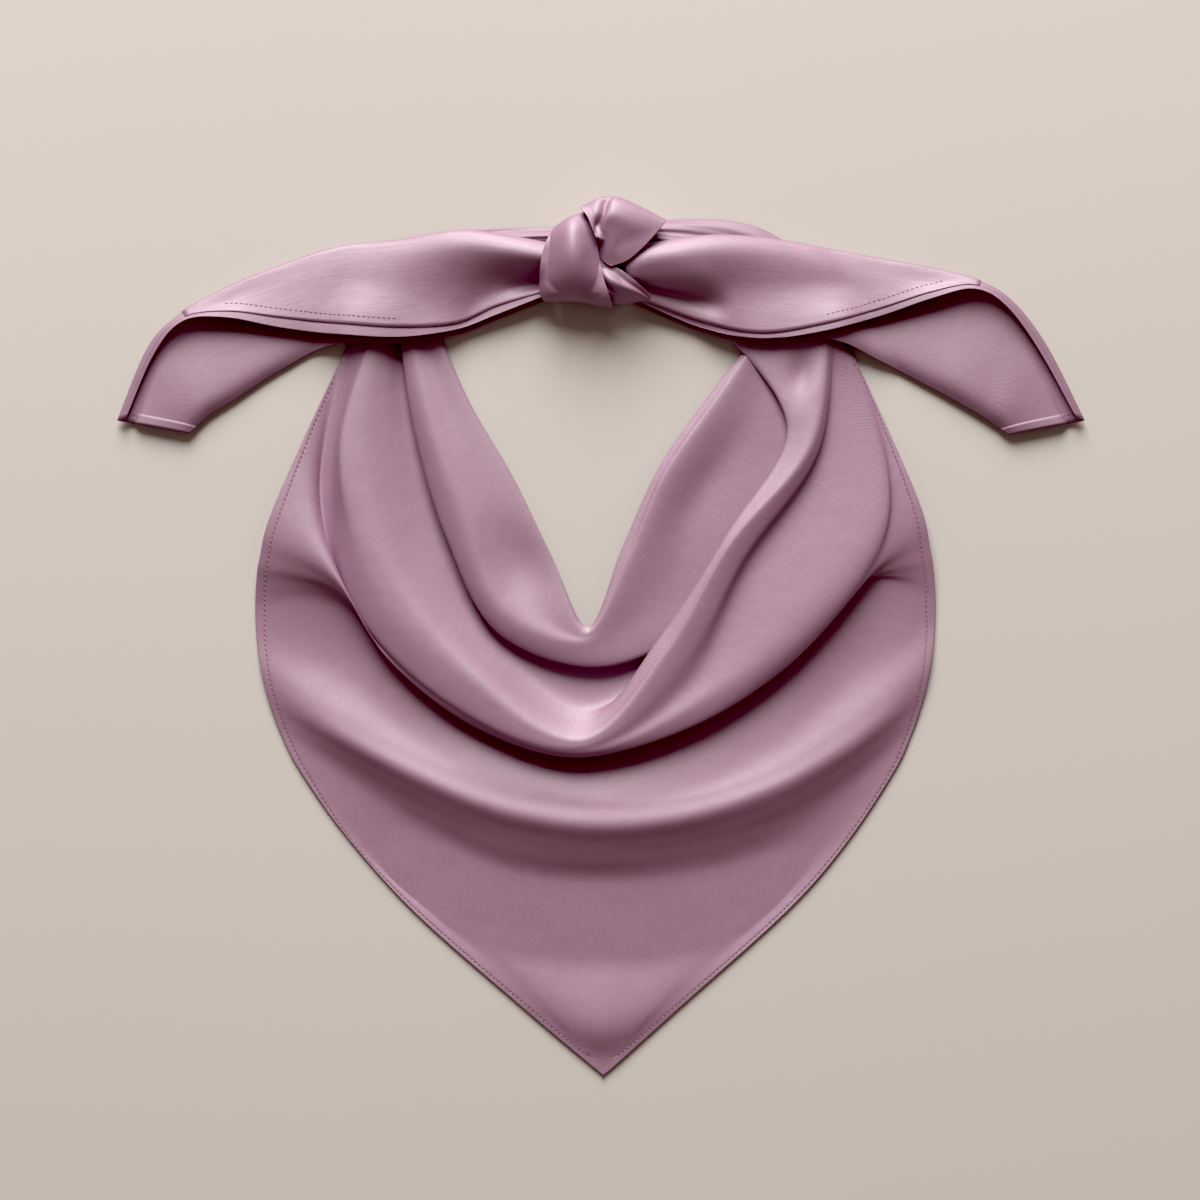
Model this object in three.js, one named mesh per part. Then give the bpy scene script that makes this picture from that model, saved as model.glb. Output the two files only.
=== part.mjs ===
// A satin neckerchief: a hemmed square folded on its diagonal, its two long ends tied in a knot, laid flat.
// The point of the triangle lies towards -Y, the knot towards +Y, and the cloth rests on z = 0.
import * as THREE from 'three';
import { mergeVertices } from 'three/addons/utils/BufferGeometryUtils.js';

// Driving dimensions in millimetres
const bibHalf = 149.6;        // half the width between the two side hems
const bibDrop = 330.4;        // from the shoulders to the point
const bibLoft = 20;           // height of the tallest fold of the bib
const tailLength = 189.2;     // one free end, from the knot to its corner
const tailDrop = 83.6;        // how far a free end hangs down to its corner
const tailLoft = 12;          // height of a free end's rolled top
const knotRise = 31;          // from the shoulders up to the middle of the knot
const knotWidth = 55.4;
const knotHeight = 50.6;
const knotLoft = 27;
const cloth = 1.2;            // wall of the two satin layers lying together
const hemWall = 1;            // the turned hem
const hemWidth = 5.3;
const clearance = 0.5;        // between layers that lie on each other

// Heights are shares of the loft of their own piece, places are shares of its width, length or drop.
// The sides of the bib. From 0 to 1 they run along the shoulder, from 1 to 2 down the hem.
const leftSide = [
  { at: 0, x: -0.485, y: 0 },
  { at: 0.5, x: -0.597, y: 0 },
  { at: 1, x: -0.709, y: 0 },
  { at: 1.15, x: -0.909, y: 0.182 },
  { at: 1.3, x: -1.015, y: 0.366 },
  { at: 1.5, x: -0.929, y: 0.555 },
  { at: 1.7, x: -0.632, y: 0.742 },
  { at: 1.87, x: -0.253, y: 0.899 },
  { at: 2, x: -0.006, y: 0.993 },
];
const rightSide = [
  { at: 0, x: 0.338, y: 0 },
  { at: 0.5, x: 0.512, y: 0 },
  { at: 1, x: 0.682, y: 0 },
  { at: 1.15, x: 0.874, y: 0.16 },
  { at: 1.3, x: 0.982, y: 0.36 },
  { at: 1.5, x: 0.903, y: 0.555 },
  { at: 1.7, x: 0.632, y: 0.739 },
  { at: 1.87, x: 0.253, y: 0.899 },
  { at: 2, x: 0.021, y: 0.993 },
];
// The folds of the bib from the neckline to the point, one line of cloth in each row.
// left, right: where it leaves each side; line: seven places between them, the fourth the lowest;
// heights: left side, the seven places, right side.
const folds = [
  { name: 'neck edge', left: 0, right: 0.42,
    line: [[-0.386, 0.103], [-0.261, 0.201], [-0.151, 0.302], [-0.038, 0.402],
      [0.064, 0.295], [0.173, 0.188], [0.321, 0.092]],
    heights: [0.11, 0.12, 0.14, 0.175, 0.25, 0.25, 0.25, 0.2, 0.12] },
  { name: 'neck roll', left: 0.05, right: 0.43,
    line: [[-0.4, 0.106], [-0.273, 0.205], [-0.161, 0.308], [-0.041, 0.409],
      [0.075, 0.303], [0.182, 0.195], [0.332, 0.096]],
    heights: [0.16, 0.18, 0.21, 0.26, 0.32, 0.33, 0.34, 0.3, 0.16] },
  { name: 'panel', left: 0.2, right: 0.45,
    line: [[-0.451, 0.117], [-0.347, 0.23], [-0.248, 0.345], [-0.044, 0.415],
      [0.094, 0.314], [0.198, 0.203], [0.351, 0.103]],
    heights: [0.13, 0.24, 0.32, 0.36, 0.47, 0.43, 0.42, 0.35, 0.17] },
  { name: 'first ridge', left: 0.36, right: 0.52,
    line: [[-0.507, 0.129], [-0.409, 0.256], [-0.294, 0.379], [-0.038, 0.427],
      [0.165, 0.363], [0.302, 0.245], [0.449, 0.129]],
    heights: [0.2, 0.4, 0.475, 0.525, 0.55, 0.31, 0.25, 0.21, 0.15] },
  { name: 'first nose', left: 0.49, right: 0.62,
    line: [[-0.546, 0.143], [-0.453, 0.283], [-0.301, 0.41], [-0.003, 0.455],
      [0.27, 0.395], [0.457, 0.274], [0.602, 0.145]],
    heights: [0.18, 0.28, 0.34, 0.37, 0.4, 0.325, 0.31, 0.23, 0.14] },
  { name: 'first tuck', left: 0.45, right: 0.64,
    line: [[-0.522, 0.138], [-0.431, 0.274], [-0.288, 0.398], [0, 0.441],
      [0.273, 0.402], [0.464, 0.279], [0.613, 0.147]],
    heights: [0.12, 0.13, 0.15, 0.16, 0.17, 0.21, 0.25, 0.2, 0.12] },
  { name: 'first turn', left: 0.485, right: 0.66,
    line: [[-0.535, 0.141], [-0.443, 0.279], [-0.294, 0.405], [0, 0.449],
      [0.28, 0.406], [0.474, 0.282], [0.624, 0.149]],
    heights: [0.06, 0.06, 0.065, 0.07, 0.07, 0.11, 0.15, 0.13, 0.08] },
  { name: 'first pocket', left: 0.53, right: 0.7,
    line: [[-0.567, 0.148], [-0.472, 0.292], [-0.311, 0.422], [-0.026, 0.495],
      [0.275, 0.421], [0.479, 0.292], [0.641, 0.154]],
    heights: [0.07, 0.08, 0.09, 0.1, 0.1, 0.11, 0.16, 0.15, 0.1] },
  { name: 'roll rim', left: 0.62, right: 0.02,
    line: [[-0.628, 0.158], [-0.539, 0.309], [-0.339, 0.438], [-0.044, 0.521],
      [0.179, 0.413], [0.378, 0.276], [0.547, 0.136]],
    heights: [0.18, 0.275, 0.325, 0.38, 0.42, 0.57, 0.58, 0.38, 0.2] },
  { name: 'roll top', left: 0.7, right: 0.62,
    line: [[-0.7, 0.165], [-0.603, 0.324], [-0.369, 0.453], [-0.053, 0.537],
      [0.188, 0.428], [0.374, 0.29], [0.58, 0.159]],
    heights: [0.25, 0.47, 0.59, 0.67, 0.7, 0.73, 0.73, 0.55, 0.27] },
  { name: 'roll', left: 0.77, right: 0.92,
    line: [[-0.759, 0.169], [-0.654, 0.334], [-0.393, 0.463], [-0.062, 0.549],
      [0.196, 0.436], [0.385, 0.293], [0.613, 0.161]],
    heights: [0.27, 0.52, 0.65, 0.77, 0.84, 0.8, 0.76, 0.61, 0.28] },
  { name: 'roll side', left: 0.84, right: 0.98,
    line: [[-0.771, 0.176], [-0.691, 0.348], [-0.418, 0.48], [-0.062, 0.557],
      [0.229, 0.453], [0.42, 0.306], [0.635, 0.167]],
    heights: [0.25, 0.4, 0.62, 0.75, 0.83, 0.72, 0.65, 0.51, 0.25] },
  { name: 'pleat side', left: 0.94, right: 1.02,
    line: [[-0.786, 0.183], [-0.728, 0.363], [-0.443, 0.498], [-0.065, 0.563],
      [0.259, 0.476], [0.446, 0.326], [0.655, 0.183]],
    heights: [0.25, 0.2, 0.5, 0.69, 0.8, 0.6, 0.46, 0.35, 0.22] },
  { name: 'side strip', left: 1.06, right: 1.07,
    line: [[-0.827, 0.232], [-0.702, 0.392], [-0.422, 0.511], [-0.065, 0.569],
      [0.302, 0.499], [0.612, 0.384], [0.833, 0.238]],
    heights: [0.11, 0.13, 0.42, 0.63, 0.75, 0.69, 0.65, 0.5, 0.16] },
  { name: 'branch', left: 1.2, right: 1.205,
    line: [[-0.792, 0.319], [-0.626, 0.442], [-0.37, 0.531], [-0.062, 0.571],
      [0.266, 0.533], [0.557, 0.448], [0.789, 0.331]],
    heights: [0.3, 0.43, 0.45, 0.56, 0.67, 0.62, 0.53, 0.43, 0.28] },
  { name: 'second nose', left: 1.255, right: 1.255,
    line: [[-0.776, 0.35], [-0.59, 0.457], [-0.35, 0.538], [-0.062, 0.574],
      [0.241, 0.53], [0.513, 0.456], [0.73, 0.351]],
    heights: [0.25, 0.35, 0.33, 0.43, 0.52, 0.48, 0.4, 0.34, 0.24] },
  { name: 'second tuck', left: 1.28, right: 1.28,
    line: [[-0.761, 0.361], [-0.561, 0.454], [-0.329, 0.53], [-0.053, 0.559],
      [0.236, 0.518], [0.496, 0.447], [0.702, 0.346]],
    heights: [0.215, 0.26, 0.16, 0.17, 0.18, 0.17, 0.16, 0.26, 0.21] },
  { name: 'second turn', left: 1.31, right: 1.305,
    line: [[-0.749, 0.382], [-0.548, 0.47], [-0.316, 0.54], [-0.044, 0.567],
      [0.25, 0.523], [0.514, 0.449], [0.721, 0.345]],
    heights: [0.18, 0.19, 0.09, 0.07, 0.07, 0.07, 0.08, 0.19, 0.18] },
  { name: 'second pocket', left: 1.35, right: 1.34,
    line: [[-0.757, 0.445], [-0.54, 0.52], [-0.295, 0.575], [-0.032, 0.609],
      [0.257, 0.592], [0.516, 0.532], [0.733, 0.444]],
    heights: [0.15, 0.12, 0.22, 0.35, 0.43, 0.33, 0.21, 0.12, 0.15] },
  { name: 'swag rise', left: 1.41, right: 1.4,
    line: [[-0.761, 0.514], [-0.53, 0.568], [-0.289, 0.612], [-0.032, 0.63],
      [0.24, 0.621], [0.499, 0.583], [0.731, 0.518]],
    heights: [0.13, 0.25, 0.41, 0.51, 0.55, 0.51, 0.4, 0.25, 0.13] },
  { name: 'swag', left: 1.445, right: 1.435,
    line: [[-0.747, 0.552], [-0.516, 0.6], [-0.278, 0.64], [-0.026, 0.656],
      [0.238, 0.648], [0.491, 0.612], [0.728, 0.559]],
    heights: [0.13, 0.29, 0.47, 0.57, 0.61, 0.57, 0.46, 0.3, 0.13] },
  { name: 'swag back', left: 1.47, right: 1.46,
    line: [[-0.732, 0.576], [-0.506, 0.626], [-0.272, 0.668], [-0.024, 0.683],
      [0.238, 0.673], [0.491, 0.642], [0.724, 0.588]],
    heights: [0.12, 0.23, 0.38, 0.49, 0.52, 0.49, 0.39, 0.24, 0.12] },
  { name: 'swag fall', left: 1.49, right: 1.485,
    line: [[-0.721, 0.601], [-0.499, 0.653], [-0.268, 0.697], [-0.021, 0.712],
      [0.239, 0.701], [0.491, 0.673], [0.718, 0.617]],
    heights: [0.12, 0.16, 0.215, 0.25, 0.27, 0.25, 0.22, 0.17, 0.12] },
  { name: 'swag foot', left: 1.52, right: 1.51,
    line: [[-0.699, 0.635], [-0.49, 0.696], [-0.262, 0.742], [-0.015, 0.755],
      [0.245, 0.746], [0.495, 0.713], [0.712, 0.649]],
    heights: [0.11, 0.07, 0.04, 0.035, 0.035, 0.035, 0.04, 0.07, 0.11] },
  { name: 'upper plain', left: 1.63, right: 1.66,
    line: [[-0.596, 0.738], [-0.41, 0.777], [-0.211, 0.8], [-0.009, 0.814],
      [0.179, 0.805], [0.362, 0.783], [0.533, 0.747]],
    heights: [0.11, 0.03, 0.03, 0.03, 0.03, 0.03, 0.03, 0.03, 0.11] },
  { name: 'middle plain', left: 1.74, right: 1.74,
    line: [[-0.415, 0.806], [-0.281, 0.828], [-0.142, 0.84], [0, 0.843],
      [0.142, 0.84], [0.282, 0.827], [0.416, 0.805]],
    heights: [0.11, 0.025, 0.025, 0.025, 0.025, 0.025, 0.025, 0.025, 0.11] },
  { name: 'lower plain', left: 1.88, right: 1.88,
    line: [[-0.171, 0.915], [-0.113, 0.923], [-0.054, 0.927], [0.006, 0.928],
      [0.063, 0.927], [0.12, 0.923], [0.174, 0.915]],
    heights: [0.11, 0.12, 0.16, 0.2, 0.215, 0.2, 0.16, 0.12, 0.11] },
  { name: 'near the point', left: 1.967, right: 1.967,
    line: [[-0.034, 0.978], [-0.022, 0.975], [-0.008, 0.974], [0.006, 0.973],
      [0.02, 0.974], [0.034, 0.975], [0.046, 0.978]],
    heights: [0.12, 0.12, 0.12, 0.12, 0.12, 0.12, 0.12, 0.12, 0.12] },
  { name: 'tip', left: 2, right: 2,
    line: [[-0.003, 0.995], [0, 0.996], [0.003, 0.998], [0.006, 0.999],
      [0.01, 0.998], [0.013, 0.996], [0.017, 0.995]],
    heights: [0.11, 0.11, 0.11, 0.11, 0.11, 0.11, 0.11, 0.11, 0.11] },
];
// Soft dents and bumps on the bib, each between two of its folds.
const dents = [
  { x: -0.232, y: 0.321, long: 0.118, wide: 0.076, turn: 62,
    height: -0.12, from: 'neck edge', to: 'first nose' },
  { x: 0.285, y: 0.214, long: 0.165, wide: 0.059, turn: -58,
    height: -0.08, from: 'panel', to: 'first nose' },
  { x: 0.594, y: 0.063, long: 0.076, wide: 0.041, turn: -60,
    height: -0.125, from: 'roll rim', to: 'roll' },
];
// The free ends in sections from the knot outwards. top: the rolled upper edge; edge: the free edge of the
// layer that comes over it; low: the lower edge of the back; front: how much of the flap the front layer
// covers; heights: lower edge, ridge, valley, rolled top, middle of the flap, its edge.
const leftTail = [
  { top: [0, 0], edge: [0, 0.263], low: [0, 0.284], front: 0.9,
    heights: [0.117, 0.133, 0.133, 0.917, 0.375, 0.667] },
  { top: [0.1, -0.042], edge: [0.119, 0.368], low: [0.112, 0.384], front: 0.86,
    heights: [0.117, 0.133, 0.133, 0.958, 0.4, 0.55] },
  { top: [0.205, -0.068], edge: [0.216, 0.447], low: [0.216, 0.474], front: 0.93,
    heights: [0.117, 0.133, 0.133, 0.875, 0.5, 0.467] },
  { top: [0.344, -0.021], edge: [0.344, 0.489], low: [0.349, 0.516], front: 0.88,
    heights: [0.133, 0.15, 0.133, 0.667, 0.55, 0.4] },
  { top: [0.484, 0.011], edge: [0.484, 0.474], low: [0.502, 0.526], front: 0.85,
    heights: [0.167, 0.2, 0.133, 0.633, 0.55, 0.433] },
  { top: [0.623, 0.111], edge: [0.619, 0.437], low: [0.623, 0.658], front: 0.78,
    heights: [0.183, 0.217, 0.133, 0.633, 0.583, 0.5] },
  { top: [0.753, 0.232], edge: [0.744, 0.384], low: [0.728, 0.811], front: 0.6,
    heights: [0.2, 0.267, 0.15, 0.617, 0.583, 0.533] },
  { top: [0.86, 0.374], edge: [0.844, 0.4], low: [0.781, 0.884], front: 0.2,
    heights: [0.2, 0.3, 0.167, 0.517, 0.5, 0.467] },
  { top: [0.93, 0.547], edge: [0.912, 0.568], low: [0.809, 0.937], front: 0,
    heights: [0.2, 0.3, 0.183, 0.35, 0.333, 0.308] },
  { top: [0.998, 0.921], edge: [0.979, 0.911], low: [0.835, 0.989], front: 0,
    heights: [0.183, 0.217, 0.183, 0.242, 0.242, 0.233] },
];
const rightTail = [
  { top: [0, 0.032], edge: [0.019, 0.279], low: [0.023, 0.3], front: 0.9,
    heights: [0.117, 0.133, 0.133, 0.833, 0.375, 0.667] },
  { top: [0.181, -0.037], edge: [0.186, 0.437], low: [0.186, 0.458], front: 0.92,
    heights: [0.117, 0.133, 0.133, 0.917, 0.383, 0.517] },
  { top: [0.321, -0.032], edge: [0.321, 0.495], low: [0.321, 0.521], front: 0.94,
    heights: [0.117, 0.133, 0.133, 0.792, 0.517, 0.417] },
  { top: [0.46, 0.016], edge: [0.465, 0.458], low: [0.484, 0.5], front: 0.9,
    heights: [0.15, 0.183, 0.133, 0.667, 0.517, 0.367] },
  { top: [0.6, 0.074], edge: [0.6, 0.374], low: [0.6, 0.611], front: 0.82,
    heights: [0.183, 0.217, 0.133, 0.65, 0.567, 0.467] },
  { top: [0.716, 0.121], edge: [0.716, 0.284], low: [0.716, 0.747], front: 0.62,
    heights: [0.2, 0.267, 0.15, 0.633, 0.583, 0.533] },
  { top: [0.821, 0.184], edge: [0.814, 0.232], low: [0.781, 0.826], front: 0.25,
    heights: [0.2, 0.3, 0.167, 0.567, 0.533, 0.5] },
  { top: [0.902, 0.289], edge: [0.888, 0.316], low: [0.833, 0.895], front: 0,
    heights: [0.2, 0.317, 0.183, 0.467, 0.45, 0.417] },
  { top: [0.984, 0.526], edge: [0.965, 0.547], low: [0.865, 0.942], front: 0,
    heights: [0.2, 0.3, 0.183, 0.35, 0.333, 0.308] },
  { top: [1.072, 0.921], edge: [1.053, 0.905], low: [0.9, 0.995], front: 0,
    heights: [0.183, 0.217, 0.183, 0.242, 0.242, 0.233] },
];
// Where the free ends and the bands leave the knot, as shares of its width and height.
const tailRoot = { left: 0.444, right: 0.143, y: 0.074 };
const bandEnd = {
  left: { x: 0.444, y: 0.1, half: 0.13 },
  right: { x: 0.444, y: 0.143, half: 0.148 },
};
const coreShape = { y: -0.117, half: 0.243, top: 0.63 };
// The pieces of the knot in ribs from one side of each piece to the other.
const wrapRibs = [
  { name: 'under the fan', left: [-0.325, 0.161], middle: [-0.23, 0.196], right: [-0.127, 0.213],
    heights: [0.185, 0.222, 0.222] },
  { name: 'top turn', left: [-0.373, 0.222], middle: [-0.27, 0.291], right: [-0.143, 0.343],
    heights: [0.444, 0.519, 0.481] },
  { name: 'shoulder', left: [-0.421, 0.152], middle: [-0.262, 0.222], right: [-0.087, 0.239],
    heights: [0.556, 0.815, 0.667] },
  { name: 'upper', left: [-0.468, 0.048], middle: [-0.262, 0.074], right: [-0.056, 0.065],
    heights: [0.519, 0.944, 0.704] },
  { name: 'middle', left: [-0.5, -0.117], middle: [-0.262, -0.091], right: [-0.032, -0.091],
    heights: [0.481, 1, 0.704] },
  { name: 'lower', left: [-0.508, -0.265], middle: [-0.254, -0.257], right: [0, -0.248],
    heights: [0.463, 0.963, 0.667] },
  { name: 'lip', left: [-0.5, -0.378], middle: [-0.23, -0.387], right: [0.04, -0.387],
    heights: [0.407, 0.778, 0.556] },
  { name: 'bottom turn', left: [-0.46, -0.422], middle: [-0.19, -0.43], right: [0.071, -0.483],
    heights: [0.333, 0.444, 0.333] },
  { name: 'under', left: [-0.381, -0.396], middle: [-0.19, -0.404], right: [0.04, -0.439],
    heights: [0.148, 0.185, 0.148] },
];
const fanRibs = [
  { name: 'foot', left: [-0.048, -0.022], middle: [-0.008, -0.065], right: [0.024, -0.135],
    heights: [0.556, 0.667, 0.556] },
  { name: 'gather', left: [-0.063, 0.074], middle: [0.032, 0.03], right: [0.143, -0.083],
    heights: [0.741, 0.889, 0.667] },
  { name: 'lower', left: [-0.087, 0.196], middle: [0.079, 0.17], right: [0.286, 0.022],
    heights: [0.815, 0.963, 0.667] },
  { name: 'upper', left: [-0.127, 0.3], middle: [0.095, 0.309], right: [0.405, 0.152],
    heights: [0.815, 0.926, 0.63] },
  { name: 'brow', left: [-0.183, 0.37], middle: [0.071, 0.448], right: [0.476, 0.257],
    heights: [0.667, 0.778, 0.556] },
  { name: 'turn', left: [-0.159, 0.361], middle: [0.079, 0.465], right: [0.468, 0.283],
    heights: [0.444, 0.519, 0.407] },
  { name: 'under', left: [-0.111, 0.317], middle: [0.095, 0.396], right: [0.413, 0.265],
    heights: [0.222, 0.259, 0.222] },
];
const rollRibs = [
  { name: 'under the wrap', left: [-0.048, -0.1], middle: [-0.032, -0.196], right: [-0.016, -0.291],
    heights: [0.519, 0.593, 0.481] },
  { name: 'full', left: [0.032, -0.109], middle: [0.04, -0.248], right: [0.04, -0.378],
    heights: [0.556, 0.704, 0.444] },
  { name: 'middle', left: [0.127, -0.152], middle: [0.135, -0.283], right: [0.127, -0.413],
    heights: [0.556, 0.685, 0.407] },
  { name: 'narrow', left: [0.222, -0.239], middle: [0.23, -0.335], right: [0.222, -0.422],
    heights: [0.519, 0.611, 0.389] },
  { name: 'neck', left: [0.31, -0.335], middle: [0.31, -0.378], right: [0.294, -0.413],
    heights: [0.444, 0.5, 0.389] },
  { name: 'end', left: [0.365, -0.378], middle: [0.357, -0.396], right: [0.341, -0.413],
    heights: [0.37, 0.389, 0.37] },
];

const colours = {
  front: 0xb18da0,
  back: 0xa57f93,
  hem: 0xa17b8f,
  knot: 0xb491a4,
};

const between = (a, b, t) => a + (b - a) * t;
const smoothstep = (t) => {
  const s = Math.min(Math.max(t, 0), 1);
  return s * s * (3 - 2 * s);
};

// A smooth line through rows of numbers; t counts rows.
function through(rows, t) {
  const last = rows.length - 1;
  const i = Math.min(Math.max(Math.floor(t), 0), last - 1);
  const f = t - i;
  const row = (k) => rows[Math.min(Math.max(k, 0), last)];
  const [a, b, c, d] = [row(i - 1), row(i), row(i + 1), row(i + 2)];
  return b.map((_, k) => 0.5 * (2 * b[k] + (c[k] - a[k]) * f
    + (2 * a[k] - 5 * b[k] + 4 * c[k] - d[k]) * f * f
    + (3 * b[k] - a[k] - 3 * c[k] + d[k]) * f * f * f));
}

// Heights of all that already lies on the surface, so that the next piece can be laid over it.
const cell = 1.5;
const fieldHalf = tailLength + bibHalf;
const cells = Math.ceil(2 * fieldHalf / cell);
const heights = new Float32Array(cells * cells);

const cellOf = (v) => Math.min(Math.max(Math.round((v + fieldHalf) / cell), 0), cells - 1);

const layingSteps = 6;        // places along each side of a triangle

function layDown(geometry) {
  const p = geometry.attributes.position;
  const index = geometry.index.array;
  const steps = layingSteps;
  for (let n = 0; n < index.length; n += 3) {
    const [a, b, c] = [0, 1, 2].map((k) => new THREE.Vector3().fromBufferAttribute(p, index[n + k]));
    for (let i = 0; i <= steps; i += 1) {
      for (let j = 0; j <= steps - i; j += 1) {
        const [s, t] = [i / steps, j / steps];
        const x = a.x + (b.x - a.x) * s + (c.x - a.x) * t;
        const y = a.y + (b.y - a.y) * s + (c.y - a.y) * t;
        const z = a.z + (b.z - a.z) * s + (c.z - a.z) * t;
        const k = cellOf(y) * cells + cellOf(x);
        heights[k] = Math.max(heights[k], z);
      }
    }
  }
}

// The heights spread sideways or levelled out over a square of cells.
function filtered(source, reach, gather, finish) {
  const target = new Float32Array(cells * cells);
  for (let y = reach; y < cells - reach; y += 1) {
    for (let x = reach; x < cells - reach; x += 1) {
      let value = 0;
      for (let j = -reach; j <= reach; j += 1) {
        for (let i = -reach; i <= reach; i += 1) value = gather(value, source[(y + j) * cells + x + i]);
      }
      target[y * cells + x] = finish(value);
    }
  }
  return target;
}

// The lowest height at which a middle surface clears what lies below it, falling off softly beside it.
const aroundTails = { spread: 6, soft: 4 };     // in cells
const aroundKnot = { spread: 3, soft: 2 };

function groundUnder({ spread: spreadCells, soft: softCells }) {
  const above = (top) => (top > 0 ? top + clearance + cloth / 2 : 0);
  const spread = filtered(heights, spreadCells, Math.max, above);
  const count = (2 * softCells + 1) ** 2;
  const soft = filtered(spread, softCells, (sum, z) => sum + z, (sum) => sum / count);
  return (x, y) => soft[cellOf(y) * cells + cellOf(x)];
}

const normalAt = (grid, i, j) => {
  const rows = grid.length - 1;
  const columns = grid[0].length - 1;
  const down = grid[Math.min(i + 1, rows)][j].clone().sub(grid[Math.max(i - 1, 0)][j]);
  const across = grid[i][Math.min(j + 1, columns)].clone().sub(grid[i][Math.max(j - 1, 0)]);
  return across.cross(down).normalize();
};

// The same surface moved along its normals.
const offsetGrid = (grid, distance) => grid.map((row, i) => row.map(
  (point, j) => point.clone().addScaledVector(normalAt(grid, i, j), distance)));

// A closed sheet of cloth around a grid of points on its middle surface.
function sheet(grid, wall) {
  const rows = grid.length;
  const columns = grid[0].length;
  const sides = [offsetGrid(grid, wall / 2), offsetGrid(grid, -wall / 2)];
  const positions = sides.flatMap((side) => side.flatMap((row) => row.flatMap((p) => [p.x, p.y, p.z])));
  const at = (side, i, j) => side * rows * columns + i * columns + j;
  const index = [];
  const quad = (a, b, c, d) => index.push(a, b, c, a, c, d);
  for (let i = 0; i < rows - 1; i += 1) {
    for (let j = 0; j < columns - 1; j += 1) {
      quad(at(0, i, j), at(0, i, j + 1), at(0, i + 1, j + 1), at(0, i + 1, j));
      quad(at(1, i, j), at(1, i + 1, j), at(1, i + 1, j + 1), at(1, i, j + 1));
    }
  }
  for (let j = 0; j < columns - 1; j += 1) {
    quad(at(0, 0, j), at(1, 0, j), at(1, 0, j + 1), at(0, 0, j + 1));
    quad(at(0, rows - 1, j), at(0, rows - 1, j + 1), at(1, rows - 1, j + 1), at(1, rows - 1, j));
  }
  for (let i = 0; i < rows - 1; i += 1) {
    quad(at(0, i, 0), at(0, i + 1, 0), at(1, i + 1, 0), at(1, i, 0));
    quad(at(0, i, columns - 1), at(1, i, columns - 1), at(1, i + 1, columns - 1), at(0, i + 1, columns - 1));
  }
  const geometry = new THREE.BufferGeometry();
  geometry.setAttribute('position', new THREE.Float32BufferAttribute(positions, 3));
  geometry.setIndex(volumeOf(positions, index) < 0 ? index.reverse() : index);
  return geometry;
}

function volumeOf(positions, index) {
  let volume = 0;
  const [a, b, c] = [new THREE.Vector3(), new THREE.Vector3(), new THREE.Vector3()];
  for (let n = 0; n < index.length; n += 3) {
    a.fromArray(positions, 3 * index[n]);
    b.fromArray(positions, 3 * index[n + 1]);
    c.fromArray(positions, 3 * index[n + 2]);
    volume += a.dot(b.cross(c)) / 6;
  }
  return volume;
}

const neckerchief = new THREE.Group();

function place(name, geometry, colour) {
  geometry.computeVertexNormals();
  const material = new THREE.MeshStandardMaterial({ color: colour, roughness: 0.45, metalness: 0.15 });
  const mesh = new THREE.Mesh(geometry, material);
  mesh.name = name;
  neckerchief.add(mesh);
  return mesh;
}

// The bib: U-shaped fold lines from one side to the other, joined by a smooth surface.

// A place on a side of the bib: 0 to 1 runs along the shoulder, 1 to 2 down the hem to the point.
function onSide(side, at) {
  const stations = side.map((row) => row.at);
  let i = stations.findIndex((s) => s >= at) - 1;
  i = Math.max(i, 0);
  const f = (at - stations[i]) / (stations[i + 1] - stations[i]);
  const points = side.map((row) => [row.x * bibHalf, -row.y * bibDrop]);
  if (at <= 1) return points[i].map((v, k) => between(v, points[i + 1][k], f));
  const first = stations.indexOf(1);
  return through(points.slice(first), i - first + f);
}

const bibColumns = 26;
const sideCrowding = 1.35;    // the columns stand closer together at the hems
const flatFrom = folds.findIndex((fold) => fold.name === 'swag foot');
const bibRows = [...Array(2 * flatFrom).keys()].map((i) => i / 2);
for (let row = flatFrom; row < folds.length; row += 1) bibRows.push(row);

// A line of cloth from side to side, its columns closer together towards the hems.
function foldLine(fold) {
  const line = fold.line.map(([x, y]) => [x * bibHalf, -y * bibDrop]);
  const places = [onSide(leftSide, fold.left), ...line, onSide(rightSide, fold.right)];
  const rows = places.map(([x, y], k) => [x, y, fold.heights[k] * bibLoft]);
  const half = bibColumns / 2;
  return Array.from({ length: bibColumns + 1 }, (_, k) => {
    const share = (Math.min(k, bibColumns - k) / half) ** sideCrowding / 2;
    return through(rows, (rows.length - 1) * (k <= half ? share : 1 - share));
  });
}

function dentHeight(x, y, row) {
  return dents.reduce((sum, dent) => {
    const turn = THREE.MathUtils.degToRad(dent.turn);
    const dx = x - dent.x * bibHalf;
    const dy = -y - dent.y * bibDrop;
    const p = (dx * Math.cos(turn) + dy * Math.sin(turn)) / (dent.long * bibHalf);
    const q = (dy * Math.cos(turn) - dx * Math.sin(turn)) / (dent.wide * bibHalf);
    const from = folds.findIndex((f) => f.name === dent.from);
    const to = folds.findIndex((f) => f.name === dent.to);
    const inside = smoothstep(row - from) * smoothstep(to - row);
    return sum + dent.height * bibLoft * Math.exp(-(p * p + q * q)) * inside;
  }, 0);
}

// The hems lie under the bib from the shoulder down, so its sides are lifted by them.
const hemStarts = { from: 0.9, to: 1 };
const hemEase = 1.1;          // hem widths over which the cloth comes down again

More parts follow.
